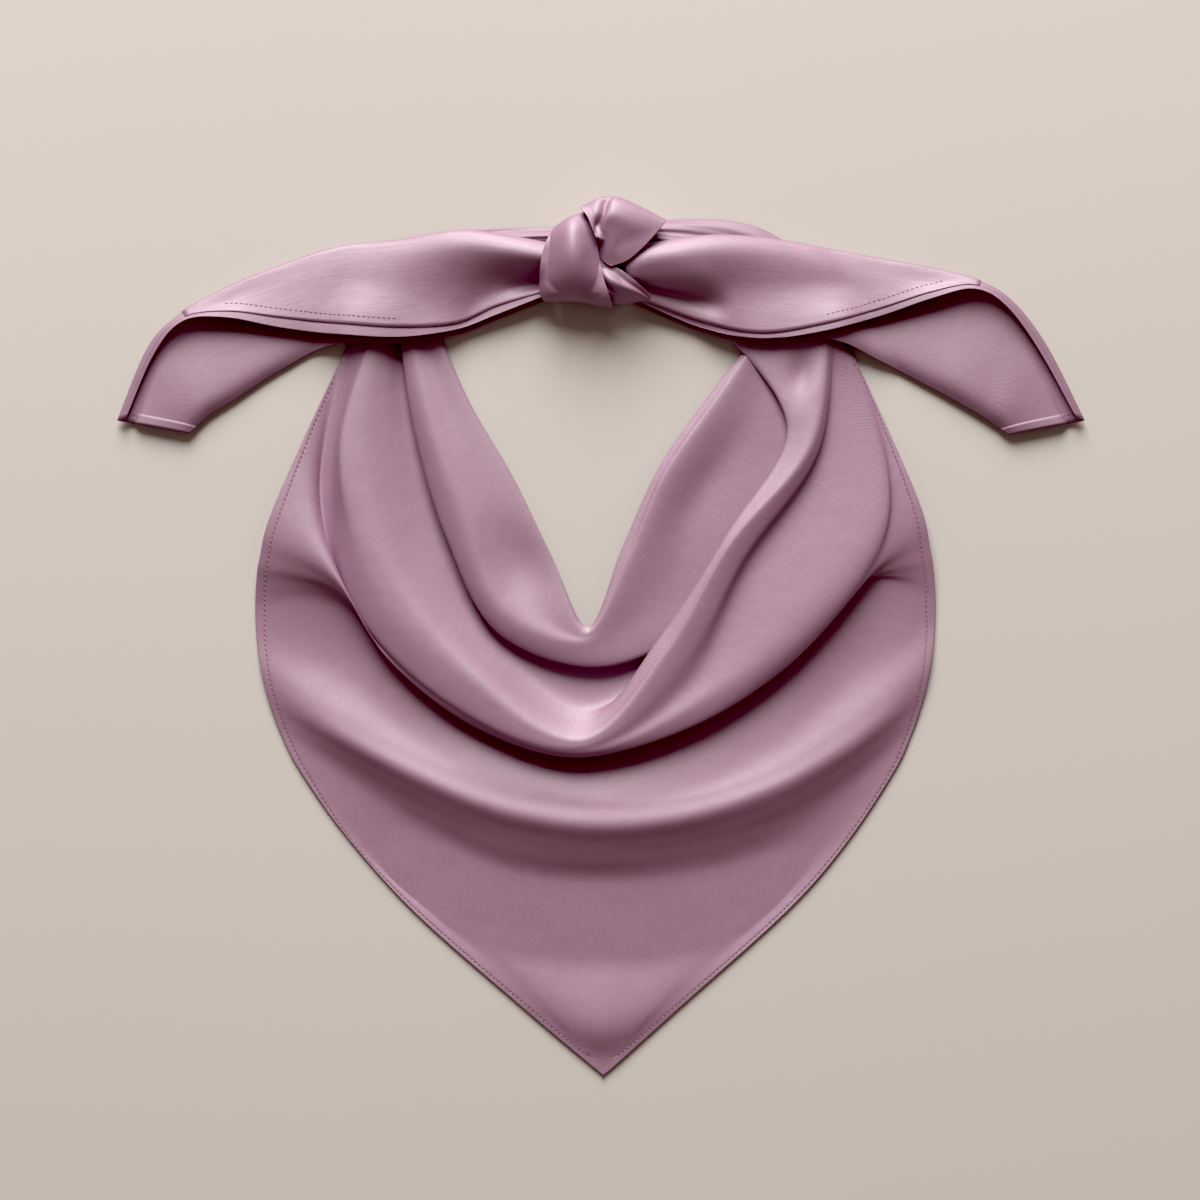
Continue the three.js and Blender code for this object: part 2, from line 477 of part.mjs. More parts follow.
function bibSurface() {
  const lines = folds.map(foldLine);
  const liftAtHem = hemWall + clearance;
  const grid = [];
  for (const row of bibRows) {
    const points = lines[0].map((_, j) => through(lines.map((line) => line[j]), row));
    const hemmed = ['left', 'right'].map((side) => smoothstep(
      (sideAt(side, row) - hemStarts.from) / (hemStarts.to - hemStarts.from)));
    grid.push(points.map(([x, y, z], j) => {
      const ends = [points[0], points[points.length - 1]];
      const lift = Math.max(...ends.map((end, k) => {
        const away = Math.hypot(x - end[0], y - end[1]) / hemWidth;
        return hemmed[k] * liftAtHem * (1 - smoothstep(away - hemEase));
      }));
      const height = Math.max(z + dentHeight(x, y, row), cloth / 2 + lift);
      return new THREE.Vector3(x, y, height);
    }));
  }
  return grid;
}

function sideAt(side, row) {
  const stations = folds.map((fold) => [fold[side]]);
  return through(stations, row)[0];
}

const bibGrid = bibSurface();
const bib = place('bib', sheet(bibGrid, cloth), colours.front);

// The turned hem under each side of the bib, from the shoulder to the point.
const bibHemDepths = [0.08, 0.55, 1.02];        // in hem widths, from the side inwards
const bibHemReach = { from: 1.04, to: 1.97 };   // places on the side

function bibHem(side) {
  const facing = Math.sign(normalAt(bibGrid, bibGrid.length - 3, bibColumns / 2).z);
  const below = offsetGrid(bibGrid, -facing * (cloth / 2 + clearance + hemWall / 2));
  const grid = below.flatMap((row, i) => {
    const at = sideAt(side, bibRows[i]);
    if (at < bibHemReach.from || at > bibHemReach.to) return [];
    const ordered = side === 'left' ? row : [...row].reverse();
    return [bibHemDepths.map((depth) => pointAlong(ordered, depth * hemWidth))];
  });
  return sheet(grid, hemWall);
}

function pointAlong(points, distance) {
  let left = distance;
  for (let k = 0; k < points.length - 1; k += 1) {
    const step = points[k].distanceTo(points[k + 1]);
    if (left <= step || k === points.length - 2) return points[k].clone().lerp(points[k + 1], left / step);
    left -= step;
  }
  return points[points.length - 1].clone();
}

place('hem_bib_left', bibHem('left'), colours.hem);
place('hem_bib_right', bibHem('right'), colours.hem);
layDown(bib.geometry);

// The bands that run from the shoulders up into the knot, under the free ends.
const knotX = 0.009 * bibHalf;
const bandColumns = 6;
const bandSteps = 10;
const bandShape = {
  narrower: 0.02,             // how far it stays inside the shoulder, as a share of the bib's half width
  rise: 1,                  // how high it goes before it turns inwards, as a share of the knot's rise
  turn: 0.5,                  // how far inwards the turn reaches
  arch: 0.15,                 // height of its rounded middle, as a share of a free end's loft
  archAngle: 1.35,            // half the angle of the arch, in radians
  lift: 0.3,
};

function band(side) {
  const hemPoints = side < 0 ? leftSide : rightSide;
  const inner = hemPoints[0].x * bibHalf;
  const outer = hemPoints.find((row) => row.at === 1).x * bibHalf;
  const startX = (inner + outer) / 2;
  const startHalf = Math.abs(outer - inner) / 2;
  const start = new THREE.Vector3(startX, clearance + cloth, 0);
  const atEnd = bandEnd[side < 0 ? 'left' : 'right'];
  const end = new THREE.Vector3(knotX + side * atEnd.x * knotWidth, knotRise + atEnd.y * knotHeight, 0);
  const inset = bandShape.narrower * bibHalf;
  const up = new THREE.Vector3(start.x - side * inset, start.y + bandShape.rise * knotRise, 0);
  const inwards = new THREE.Vector3(between(end.x, start.x, bandShape.turn), end.y, 0);
  const path = new THREE.CubicBezierCurve3(start, up, inwards, end);
  const grid = [];
  for (let i = 0; i <= bandSteps; i += 1) {
    const t = i / bandSteps;
    const middle = path.getPoint(t);
    const along = path.getTangent(t);
    const across = new THREE.Vector3(along.y, -along.x, 0);
    const half = between(startHalf - inset, atEnd.half * knotHeight, smoothstep(t));
    const row = [];
    for (let j = 0; j <= bandColumns; j += 1) {
      const s = 2 * j / bandColumns - 1;
      const arch = Math.cos(bandShape.archAngle * s) - Math.cos(bandShape.archAngle);
      const point = middle.clone().addScaledVector(across, half * s);
      point.z = cloth / 2 + bandShape.arch * tailLoft * arch + bandShape.lift;
      row.push(point);
    }
    grid.push(row);
  }
  return sheet(grid, cloth);
}

const bandLeft = place('neck_band_left', band(-1), colours.back);
const bandRight = place('neck_band_right', band(1), colours.back);
layDown(bandLeft.geometry);
layDown(bandRight.geometry);

// A free end: the back layer from its lower edge up to the rolled top, and over it down to the edge.
const foldTurn = 0.085;       // how far inside the top the roll is highest, as a share of the drop
const turnAtMost = { back: 0.4, front: 0.45 };  // the same where the layers get narrow, as a share of each
const backPlaces = { ridge: 0.3, valley: 0.68 };
const underRoll = 0.16;       // height of the back right under the roll
const rollStarts = 0.13;
const frontAtLeast = 0.25;
const frontEnds = 0.2;        // the front layer stops where less of it is left

function tailSection(row, side) {
  const onTail = ([x, y]) => new THREE.Vector2(
    knotX + side * (tailRoot[side < 0 ? 'left' : 'right'] * knotWidth + x * tailLength),
    knotRise - y * tailDrop + tailRoot.y * knotHeight);
  const [top, edge, low] = [row.top, row.edge, row.low].map(onTail);
  const turn = foldTurn * tailDrop;
  const under = top.clone().lerp(low, Math.min(turn / top.distanceTo(low), turnAtMost.back));
  const over = top.clone().lerp(edge, Math.min(turn / top.distanceTo(edge), turnAtMost.front));
  const point = (p, z) => [p.x, p.y, z * tailLoft];
  const [zLow, zRidge, zValley, zRoll, zMiddle, zEdge] = row.heights;
  const flapHeights = [[zRoll], [zMiddle], [zEdge]];
  const onFlap = (share) => point(over.clone().lerp(edge, share), through(flapHeights, 2 * share)[0]);
  return [
    point(low, zLow),
    point(low.clone().lerp(top, backPlaces.ridge), zRidge),
    point(low.clone().lerp(top, backPlaces.valley), zValley),
    point(under, Math.min(zValley, underRoll)),
    point(top, (zRoll + rollStarts) / 2),
    ...[0, 0.5, 1].map((part) => onFlap(part * Math.max(row.front, frontAtLeast))),
    onFlap(1),
  ];
}

const tailStepsAlong = 3;       // between two sections
const tailColumns = [0, 1, 2, 3, 3.5, 4, 4.5, 5, 6, 7, 8];
const frontFrom = tailColumns.indexOf(3.5);    // the front layer turns round the rolled top
const frontTo = tailColumns.indexOf(7);
const endHemTo = tailColumns.indexOf(3);

function tailGrid(sections, side, ground) {
  const rows = sections.map((row) => tailSection(row, side));
  const grid = [];
  for (let i = 0; i <= (rows.length - 1) * tailStepsAlong; i += 1) {
    const line = [];
    for (const at of tailColumns) {
      const column = rows.map((section) => through(section, at));
      const [x, y, z] = through(column, i / tailStepsAlong);
      const lift = Math.max(0, ground(x, y) - cloth);
      line.push(new THREE.Vector3(x, y, Math.max(z, cloth / 2) + lift));
    }
    grid.push(line);
  }
  return grid;
}

// The front layer follows the rolled top of the layer under it, and stops short of that layer's edge.
function frontFlap(grid, sections) {
  const outward = offsetGrid(grid, (cloth + clearance) * outwardSign(grid));
  return outward
    .filter((_, i) => through(sections.map((row) => [row.front]), i / tailStepsAlong)[0] > frontEnds)
    .map((line) => line.slice(frontFrom, frontTo + 1));
}

function outwardSign(grid) {
  const i = Math.floor(grid.length / 3);
  const j = frontTo - 1;
  return Math.sign(normalAt(grid, i, j).z);
}

// The turned hem across the end, lying on the side of the cloth that shows there.
const endHemDepths = [0.05, 0.5];     // in hem widths, from the end inwards

function endHem(grid) {
  const above = offsetGrid(grid, -outwardSign(grid) * (cloth / 2 + clearance + hemWall / 2)).slice(-3);
  const rows = [];
  for (const depth of endHemDepths) {
    const row = [];
    for (let j = 0; j <= endHemTo; j += 1) {
      const line = [above[2][j], above[1][j], above[0][j]];
      row.push(pointAlong(line, depth * hemWidth));
    }
    rows.push(row);
  }
  return rows;
}

const ground = groundUnder(aroundTails);
for (const [side, name, sections] of [[-1, 'left', leftTail], [1, 'right', rightTail]]) {
  const inner = tailGrid(sections, side, ground);
  const innerMesh = place(`tail_${name}_inner`, sheet(inner, cloth), colours.back);
  const outerMesh = place(`tail_${name}_outer`, sheet(frontFlap(inner, sections), cloth), colours.front);
  place(`hem_tail_${name}`, sheet(endHem(inner), hemWall), colours.hem);
  layDown(innerMesh.geometry);
  layDown(outerMesh.geometry);
}

// The knot: a packed core, a short roll at the lower right, the wrap over them and the fan above.
const atKnot = ([x, y], z) => [knotX + x * knotWidth, knotRise + y * knotHeight, z * knotLoft];
const ribColumns = 8;
const ribStepsPerSection = 2;

// Each piece is laid over those before it, apart from its ends, which turn under.
function ribbed(ribs, turnedUnder) {
  const under = groundUnder(aroundKnot);
  const rows = ribs.map((rib) => [
    atKnot(rib.left, rib.heights[0]),
    atKnot(rib.middle, rib.heights[1]),
    atKnot(rib.right, rib.heights[2]),
  ]);
  const grid = [];
  for (let i = 0; i <= (rows.length - 1) * ribStepsPerSection; i += 1) {
    const at = i / ribStepsPerSection;
    const line = [];
    for (let j = 0; j <= ribColumns; j += 1) {
      const column = rows.map((rib) => through(rib, 2 * j / ribColumns));
      const [x, y, z] = through(column, at);
      const isFree = turnedUnder.some(({ from, to }) => at >= from && at <= to);
      const laid = isFree ? z : Math.max(z, under(x, y));
      line.push(new THREE.Vector3(x, y, laid));
    }
    grid.push(line);
  }
  return sheet(grid, cloth);
}

// The core fills the knot between the roots of the free ends: a ball pressed into a rounded block.
const coreFacets = { around: 16, down: 8 };
const coreSquareness = 0.6;
const coreRounding = 4;       // the power of the superellipse that holds it

function packedCore() {
  const ball = new THREE.SphereGeometry(1, coreFacets.around, coreFacets.down);
  ball.deleteAttribute('normal');
  ball.deleteAttribute('uv');
  const geometry = mergeVertices(ball);
  const [left, right] = [-tailRoot.left * knotWidth + clearance, tailRoot.right * knotWidth - clearance];
  const halfX = (right - left) / 2;
  const halfY = coreShape.half * knotHeight;
  const halfZ = coreShape.top * knotLoft / 2;
  const squared = (v) => Math.sign(v) * Math.abs(v) ** coreSquareness;
  const p = geometry.attributes.position;
  for (let i = 0; i < p.count; i += 1) {
    const [x, y, z] = [p.getX(i), p.getZ(i), p.getY(i)].map(squared);
    const powers = [x, y, z].map((v) => Math.abs(v) ** coreRounding);
    const reach = Math.max(1, powers.reduce((sum, v) => sum + v) ** (1 / coreRounding));
    p.setXYZ(i, knotX + (left + right) / 2 + x / reach * halfX,
      knotRise + coreShape.y * knotHeight + y / reach * halfY, (1 + z / reach) * halfZ);
  }
  const index = [...geometry.index.array];
  geometry.setIndex(volumeOf([...p.array], index) < 0 ? index.reverse() : index);
  return geometry;
}

const core = place('knot_core', packedCore(), colours.back);
layDown(core.geometry);

const roll = place('knot_roll', ribbed(rollRibs, []), colours.knot);
layDown(roll.geometry);
const lastRib = { wrap: wrapRibs.length - 1, fan: fanRibs.length - 1 };
const wrapTurns = [{ from: 0, to: 0.6 }, { from: lastRib.wrap - 1.4, to: lastRib.wrap }];
const wrap = place('knot_wrap', ribbed(wrapRibs, wrapTurns), colours.knot);
layDown(wrap.geometry);
place('knot_fan', ribbed(fanRibs, [{ from: lastRib.fan - 1.4, to: lastRib.fan }]), colours.knot);

// The origin is the middle of the outline, on the surface that the cloth lies on.
const box = new THREE.Box3().setFromObject(neckerchief);
const middle = box.getCenter(new THREE.Vector3());
neckerchief.position.set(-middle.x, -middle.y, -box.min.z);

export default neckerchief;
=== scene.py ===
"""A mauve satin neckerchief, folded on its diagonal, tied in a knot and laid flat, seen from above."""
import math
from collections import namedtuple

import bmesh
import bpy
import numpy as np
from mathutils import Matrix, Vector


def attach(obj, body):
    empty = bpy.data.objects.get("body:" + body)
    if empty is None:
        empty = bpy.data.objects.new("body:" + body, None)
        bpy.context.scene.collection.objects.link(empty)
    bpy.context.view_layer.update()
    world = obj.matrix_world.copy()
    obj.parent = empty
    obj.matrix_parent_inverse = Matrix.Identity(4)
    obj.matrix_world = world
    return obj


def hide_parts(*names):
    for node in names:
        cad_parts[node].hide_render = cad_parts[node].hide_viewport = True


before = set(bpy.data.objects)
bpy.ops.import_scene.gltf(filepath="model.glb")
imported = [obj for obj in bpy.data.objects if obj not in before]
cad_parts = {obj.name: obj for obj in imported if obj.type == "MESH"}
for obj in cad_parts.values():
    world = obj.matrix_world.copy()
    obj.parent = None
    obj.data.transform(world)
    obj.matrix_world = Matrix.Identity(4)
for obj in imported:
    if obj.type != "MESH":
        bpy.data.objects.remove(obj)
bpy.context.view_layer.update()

# Sizes in metres
BIB_HALF = 0.1496
BIB_DROP = 0.3304
BIB_LOFT = 0.020
TAIL_LENGTH = 0.1892
TAIL_DROP = 0.0836
TAIL_LOFT = 0.012
KNOT_RISE = 0.031
KNOT_WIDTH = 0.0554
KNOT_HEIGHT = 0.0506
KNOT_LOFT = 0.027
CLOTH = 0.0003
GAP = 0.0001
HEM_WIDTH = 0.0053
HEM_WALL = 0.0003
SETTLE = 0.0008
STITCH_PITCH = 0.0022
STITCH_DEPTH = 0.0040
THREAD = 0.00036
MIDDLE = np.array([0, 0.1374, 0])
KNOT_X = 0.009 * BIB_HALF
SIDES = ("left", "right")
# What a count of steps may miss by
ROUNDING = 1e-6

Station = namedtuple("Station", "at x y")
Fold = namedtuple("Fold", "name left right line heights")
Dent = namedtuple("Dent", "x y long wide turn height start stop")
Section = namedtuple("Section", "top edge low front heights")
Rib = namedtuple("Rib", "name left middle right heights")

# The sides of the bib: 0 to 1 along the shoulder, 1 to 2 down the hem to the point.
LEFT_SIDE = [
    Station(0, -0.485, 0),
    Station(0.5, -0.597, 0),
    Station(1, -0.709, 0),
    Station(1.15, -0.909, 0.182),
    Station(1.3, -1.015, 0.366),
    Station(1.5, -0.929, 0.555),
    Station(1.7, -0.632, 0.742),
    Station(1.87, -0.253, 0.899),
    Station(2, -0.006, 0.993),
]
RIGHT_SIDE = [
    Station(0, 0.338, 0),
    Station(0.5, 0.512, 0),
    Station(1, 0.682, 0),
    Station(1.15, 0.874, 0.16),
    Station(1.3, 0.982, 0.36),
    Station(1.5, 0.903, 0.555),
    Station(1.7, 0.632, 0.739),
    Station(1.87, 0.253, 0.899),
    Station(2, 0.021, 0.993),
]
# The folds from the neckline to the point, one line of cloth in each row: where it leaves the left and the
# right side, seven places between them, and the heights of all nine.
FOLDS = [
    Fold("neck edge", 0, 0.42,
         [(-0.386, 0.103), (-0.261, 0.201), (-0.151, 0.302), (-0.038, 0.402),
          (0.064, 0.295), (0.173, 0.188), (0.321, 0.092)],
         (0.11, 0.12, 0.16, 0.23, 0.35, 0.3, 0.26, 0.2, 0.12)),
    Fold("neck roll", 0.05, 0.43,
         [(-0.4, 0.106), (-0.273, 0.205), (-0.161, 0.308), (-0.041, 0.409),
          (0.075, 0.303), (0.182, 0.195), (0.332, 0.096)],
         (0.15, 0.17, 0.21, 0.29, 0.415, 0.36, 0.33, 0.28, 0.16)),
    Fold("panel", 0.2, 0.45,
         [(-0.451, 0.117), (-0.347, 0.23), (-0.248, 0.345), (-0.044, 0.415),
          (0.094, 0.314), (0.198, 0.203), (0.351, 0.103)],
         (0.13, 0.24, 0.32, 0.36, 0.43, 0.42, 0.42, 0.35, 0.17)),
    Fold("first ridge", 0.36, 0.52,
         [(-0.507, 0.129), (-0.409, 0.256), (-0.294, 0.379), (-0.038, 0.427),
          (0.165, 0.363), (0.302, 0.245), (0.449, 0.129)],
         (0.2, 0.4, 0.475, 0.5, 0.44, 0.32, 0.27, 0.23, 0.15)),
    Fold("first nose", 0.49, 0.62,
         [(-0.546, 0.143), (-0.453, 0.283), (-0.301, 0.41), (-0.003, 0.455),
          (0.27, 0.395), (0.457, 0.274), (0.602, 0.145)],
         (0.18, 0.28, 0.34, 0.36, 0.37, 0.325, 0.31, 0.23, 0.14)),
    Fold("first tuck", 0.45, 0.64,
         [(-0.522, 0.138), (-0.431, 0.274), (-0.288, 0.398), (0, 0.441),
          (0.273, 0.402), (0.464, 0.279), (0.613, 0.147)],
         (0.12, 0.13, 0.15, 0.16, 0.17, 0.21, 0.25, 0.2, 0.12)),
    Fold("first turn", 0.485, 0.66,
         [(-0.535, 0.141), (-0.443, 0.279), (-0.294, 0.405), (0, 0.449),
          (0.28, 0.406), (0.474, 0.282), (0.624, 0.149)],
         (0.06, 0.06, 0.065, 0.07, 0.07, 0.11, 0.15, 0.13, 0.08)),
    Fold("first pocket", 0.53, 0.7,
         [(-0.567, 0.149), (-0.472, 0.293), (-0.31, 0.422), (-0.032, 0.502),
          (0.27, 0.424), (0.476, 0.294), (0.64, 0.155)],
         (0.07, 0.08, 0.09, 0.12, 0.16, 0.17, 0.18, 0.15, 0.1)),
    Fold("roll rim", 0.62, 0.02,
         [(-0.628, 0.158), (-0.539, 0.309), (-0.339, 0.438), (-0.044, 0.521),
          (0.179, 0.413), (0.378, 0.276), (0.547, 0.136)],
         (0.18, 0.275, 0.325, 0.36, 0.34, 0.48, 0.52, 0.36, 0.2)),
    Fold("roll top", 0.7, 0.62,
         [(-0.7, 0.165), (-0.603, 0.324), (-0.369, 0.453), (-0.053, 0.537),
          (0.188, 0.428), (0.374, 0.29), (0.58, 0.159)],
         (0.25, 0.47, 0.59, 0.63, 0.57, 0.67, 0.7, 0.54, 0.27)),
    Fold("roll", 0.77, 0.92,
         [(-0.759, 0.169), (-0.654, 0.334), (-0.393, 0.463), (-0.062, 0.549),
          (0.196, 0.436), (0.385, 0.293), (0.613, 0.161)],
         (0.27, 0.52, 0.65, 0.73, 0.73, 0.75, 0.74, 0.61, 0.28)),
    Fold("roll side", 0.84, 0.98,
         [(-0.771, 0.176), (-0.691, 0.348), (-0.418, 0.48), (-0.062, 0.557),
          (0.229, 0.453), (0.42, 0.306), (0.635, 0.167)],
         (0.25, 0.4, 0.62, 0.73, 0.76, 0.71, 0.65, 0.51, 0.25)),
    Fold("pleat side", 0.94, 1.02,
         [(-0.786, 0.183), (-0.728, 0.363), (-0.443, 0.498), (-0.065, 0.563),
          (0.259, 0.476), (0.446, 0.326), (0.655, 0.183)],
         (0.25, 0.2, 0.5, 0.68, 0.75, 0.6, 0.46, 0.35, 0.22)),
    Fold("side strip", 1.06, 1.07,
         [(-0.827, 0.232), (-0.702, 0.392), (-0.422, 0.511), (-0.065, 0.569),
          (0.302, 0.499), (0.612, 0.384), (0.833, 0.238)],
         (0.11, 0.13, 0.42, 0.62, 0.71, 0.68, 0.65, 0.5, 0.16)),
    Fold("branch", 1.2, 1.205,
         [(-0.792, 0.319), (-0.626, 0.442), (-0.37, 0.531), (-0.062, 0.571),
          (0.266, 0.533), (0.557, 0.448), (0.789, 0.331)],
         (0.4, 0.55, 0.48, 0.56, 0.64, 0.61, 0.53, 0.47, 0.34)),
    Fold("second nose", 1.255, 1.255,
         [(-0.776, 0.35), (-0.59, 0.457), (-0.35, 0.538), (-0.062, 0.574),
          (0.241, 0.53), (0.513, 0.456), (0.73, 0.351)],
         (0.32, 0.44, 0.34, 0.43, 0.52, 0.48, 0.4, 0.37, 0.27)),
    Fold("second tuck", 1.28, 1.28,
         [(-0.761, 0.361), (-0.561, 0.454), (-0.329, 0.53), (-0.053, 0.559),
          (0.236, 0.518), (0.496, 0.447), (0.702, 0.346)],
         (0.21, 0.25, 0.16, 0.17, 0.18, 0.17, 0.16, 0.25, 0.2)),
    Fold("second turn", 1.31, 1.305,
         [(-0.749, 0.382), (-0.548, 0.47), (-0.316, 0.54), (-0.044, 0.567),
          (0.25, 0.523), (0.514, 0.449), (0.721, 0.345)],
         (0.12, 0.11, 0.09, 0.07, 0.07, 0.07, 0.08, 0.14, 0.14)),
    Fold("second pocket", 1.35, 1.34,
         [(-0.771, 0.459), (-0.553, 0.537), (-0.302, 0.59), (-0.032, 0.621),
          (0.26, 0.605), (0.523, 0.547), (0.742, 0.459)],
         (0.11, 0.09, 0.2, 0.31, 0.36, 0.31, 0.21, 0.11, 0.12)),
    Fold("swag rise", 1.395, 1.385,
         [(-0.773, 0.518), (-0.539, 0.576), (-0.294, 0.622), (-0.032, 0.643),
          (0.249, 0.632), (0.516, 0.592), (0.751, 0.523)],
         (0.15, 0.32, 0.37, 0.425, 0.44, 0.425, 0.4, 0.32, 0.17)),
    Fold("swag", 1.43, 1.42,
         [(-0.759, 0.549), (-0.527, 0.603), (-0.284, 0.647), (-0.026, 0.666),
          (0.247, 0.655), (0.508, 0.617), (0.743, 0.556)],
         (0.14, 0.39, 0.485, 0.515, 0.52, 0.515, 0.49, 0.39, 0.16)),
    Fold("swag back", 1.46, 1.45,
         [(-0.74, 0.573), (-0.513, 0.627), (-0.276, 0.67), (-0.024, 0.688),
          (0.243, 0.677), (0.501, 0.643), (0.732, 0.583)],
         (0.12, 0.26, 0.34, 0.36, 0.365, 0.36, 0.345, 0.26, 0.13)),
    Fold("swag fall", 1.49, 1.485,
         [(-0.721, 0.6), (-0.499, 0.652), (-0.268, 0.696), (-0.021, 0.712),
          (0.237, 0.7), (0.488, 0.67), (0.714, 0.615)],
         (0.11, 0.12, 0.18, 0.205, 0.21, 0.205, 0.18, 0.12, 0.11)),
    Fold("swag foot", 1.54, 1.54,
         [(-0.678, 0.641), (-0.469, 0.691), (-0.25, 0.733), (-0.015, 0.744),
          (0.226, 0.737), (0.459, 0.71), (0.674, 0.661)],
         (0.11, 0.07, 0.04, 0.035, 0.035, 0.035, 0.04, 0.07, 0.11)),
    Fold("upper plain", 1.63, 1.645,
         [(-0.596, 0.738), (-0.41, 0.777), (-0.211, 0.8), (-0.009, 0.814),
          (0.188, 0.804), (0.378, 0.78), (0.555, 0.74)],
         (0.11, 0.03, 0.03, 0.03, 0.03, 0.03, 0.03, 0.03, 0.11)),
    Fold("middle plain", 1.74, 1.74,
         [(-0.415, 0.806), (-0.281, 0.828), (-0.142, 0.84), (0, 0.843),
          (0.142, 0.84), (0.282, 0.827), (0.416, 0.805)],
         (0.11, 0.025, 0.025, 0.025, 0.025, 0.025, 0.025, 0.025, 0.11)),
    Fold("lower plain", 1.88, 1.88,
         [(-0.171, 0.915), (-0.113, 0.923), (-0.054, 0.927), (0.006, 0.928),
          (0.063, 0.927), (0.12, 0.923), (0.174, 0.915)],
         (0.11, 0.13, 0.19, 0.24, 0.26, 0.24, 0.19, 0.13, 0.11)),
    Fold("near the point", 1.967, 1.967,
         [(-0.034, 0.978), (-0.022, 0.975), (-0.008, 0.974), (0.006, 0.973),
          (0.02, 0.974), (0.034, 0.975), (0.046, 0.978)],
         (0.12, 0.12, 0.12, 0.12, 0.12, 0.12, 0.12, 0.12, 0.12)),
    Fold("tip", 2, 2,
         [(-0.003, 0.995), (0, 0.996), (0.003, 0.998), (0.006, 0.999),
          (0.01, 0.998), (0.013, 0.996), (0.017, 0.995)],
         (0.11, 0.11, 0.11, 0.11, 0.11, 0.11, 0.11, 0.11, 0.11)),
]
# Soft dents and bumps, each between two folds, and smaller ones than the solids have.
DENTS = [
    Dent(-0.232, 0.321, 0.118, 0.076, 62, -0.12, "neck edge", "first nose"),
    Dent(0.285, 0.214, 0.165, 0.059, -58, -0.08, "panel", "first nose"),
    Dent(0.594, 0.063, 0.076, 0.041, -60, -0.125, "roll rim", "roll"),
]
# The free ends in sections from the knot outwards: rolled top, free edge, lower edge of the back, how much
# of the flap the front layer covers, and the heights of lower edge, ridge, valley, roll, flap and its edge.
LEFT_TAIL = [
    Section((0, 0), (0, 0.263), (0, 0.284), 0.9,
            (0.117, 0.133, 0.133, 1, 0.417, 0.708)),
    Section((0.1, -0.042), (0.119, 0.368), (0.112, 0.384), 0.86,
            (0.117, 0.133, 0.133, 0.917, 0.417, 0.567)),
    Section((0.205, -0.068), (0.216, 0.447), (0.216, 0.474), 0.93,
            (0.117, 0.133, 0.133, 0.783, 0.517, 0.483)),
    Section((0.344, -0.021), (0.344, 0.489), (0.349, 0.516), 0.88,
            (0.133, 0.15, 0.133, 0.55, 0.567, 0.55)),
    Section((0.484, 0.011), (0.484, 0.474), (0.502, 0.526), 0.85,
            (0.167, 0.2, 0.133, 0.45, 0.567, 0.617)),
    Section((0.623, 0.111), (0.619, 0.437), (0.623, 0.658), 0.78,
            (0.167, 0.317, 0.1, 0.417, 0.567, 0.683)),
    Section((0.753, 0.232), (0.744, 0.384), (0.728, 0.811), 0.6,
            (0.2, 0.383, 0.1, 0.417, 0.583, 0.7)),
    Section((0.86, 0.374), (0.844, 0.4), (0.781, 0.884), 0.2,
            (0.233, 0.45, 0.133, 0.467, 0.533, 0.617)),
    Section((0.93, 0.547), (0.912, 0.568), (0.809, 0.937), 0,
            (0.25, 0.433, 0.217, 0.433, 0.45, 0.45)),
    Section((0.998, 0.921), (0.979, 0.911), (0.835, 0.989), 0,
            (0.283, 0.333, 0.317, 0.383, 0.4, 0.4)),
]
RIGHT_TAIL = [
    Section((0, 0.032), (0.019, 0.279), (0.023, 0.3), 0.9,
            (0.117, 0.133, 0.133, 1.333, 1.283, 0.75)),
    Section((0.181, -0.037), (0.186, 0.437), (0.186, 0.458), 0.92,
            (0.117, 0.133, 0.133, 1, 0.717, 0.35)),
    Section((0.321, -0.032), (0.321, 0.495), (0.321, 0.521), 0.94,
            (0.117, 0.133, 0.133, 0.717, 0.533, 0.483)),
    Section((0.46, 0.016), (0.465, 0.458), (0.484, 0.5), 0.9,
            (0.15, 0.183, 0.133, 0.55, 0.55, 0.567)),
    Section((0.6, 0.074), (0.6, 0.374), (0.6, 0.611), 0.82,
            (0.167, 0.317, 0.1, 0.45, 0.567, 0.65)),
    Section((0.716, 0.121), (0.716, 0.284), (0.716, 0.747), 0.62,
            (0.2, 0.383, 0.1, 0.417, 0.583, 0.683)),
    Section((0.821, 0.184), (0.814, 0.232), (0.781, 0.826), 0.25,
            (0.233, 0.467, 0.125, 0.483, 0.55, 0.633)),
    Section((0.902, 0.289), (0.888, 0.316), (0.833, 0.895), 0,
            (0.25, 0.467, 0.167, 0.483, 0.517, 0.533)),
    Section((0.984, 0.526), (0.965, 0.547), (0.865, 0.942), 0,
            (0.25, 0.5, 0.233, 0.433, 0.45, 0.45)),
    Section((1.072, 0.921), (1.053, 0.905), (0.9, 0.995), 0,
            (0.283, 0.333, 0.317, 0.383, 0.4, 0.4)),
]
# Where the free ends and the bands leave the knot, as shares of its width and height.
TAIL_ROOT = {"left": 0.444, "right": 0.143, "y": 0.074}
BAND_END = {
    "left": {"x": 0.317, "y": 0.126, "half": 0.104},
    "right": {"x": 0.302, "y": 0.161, "half": 0.13},
}
CORE_SHAPE = {"y": -0.117, "half": 0.243, "top": 0.63}
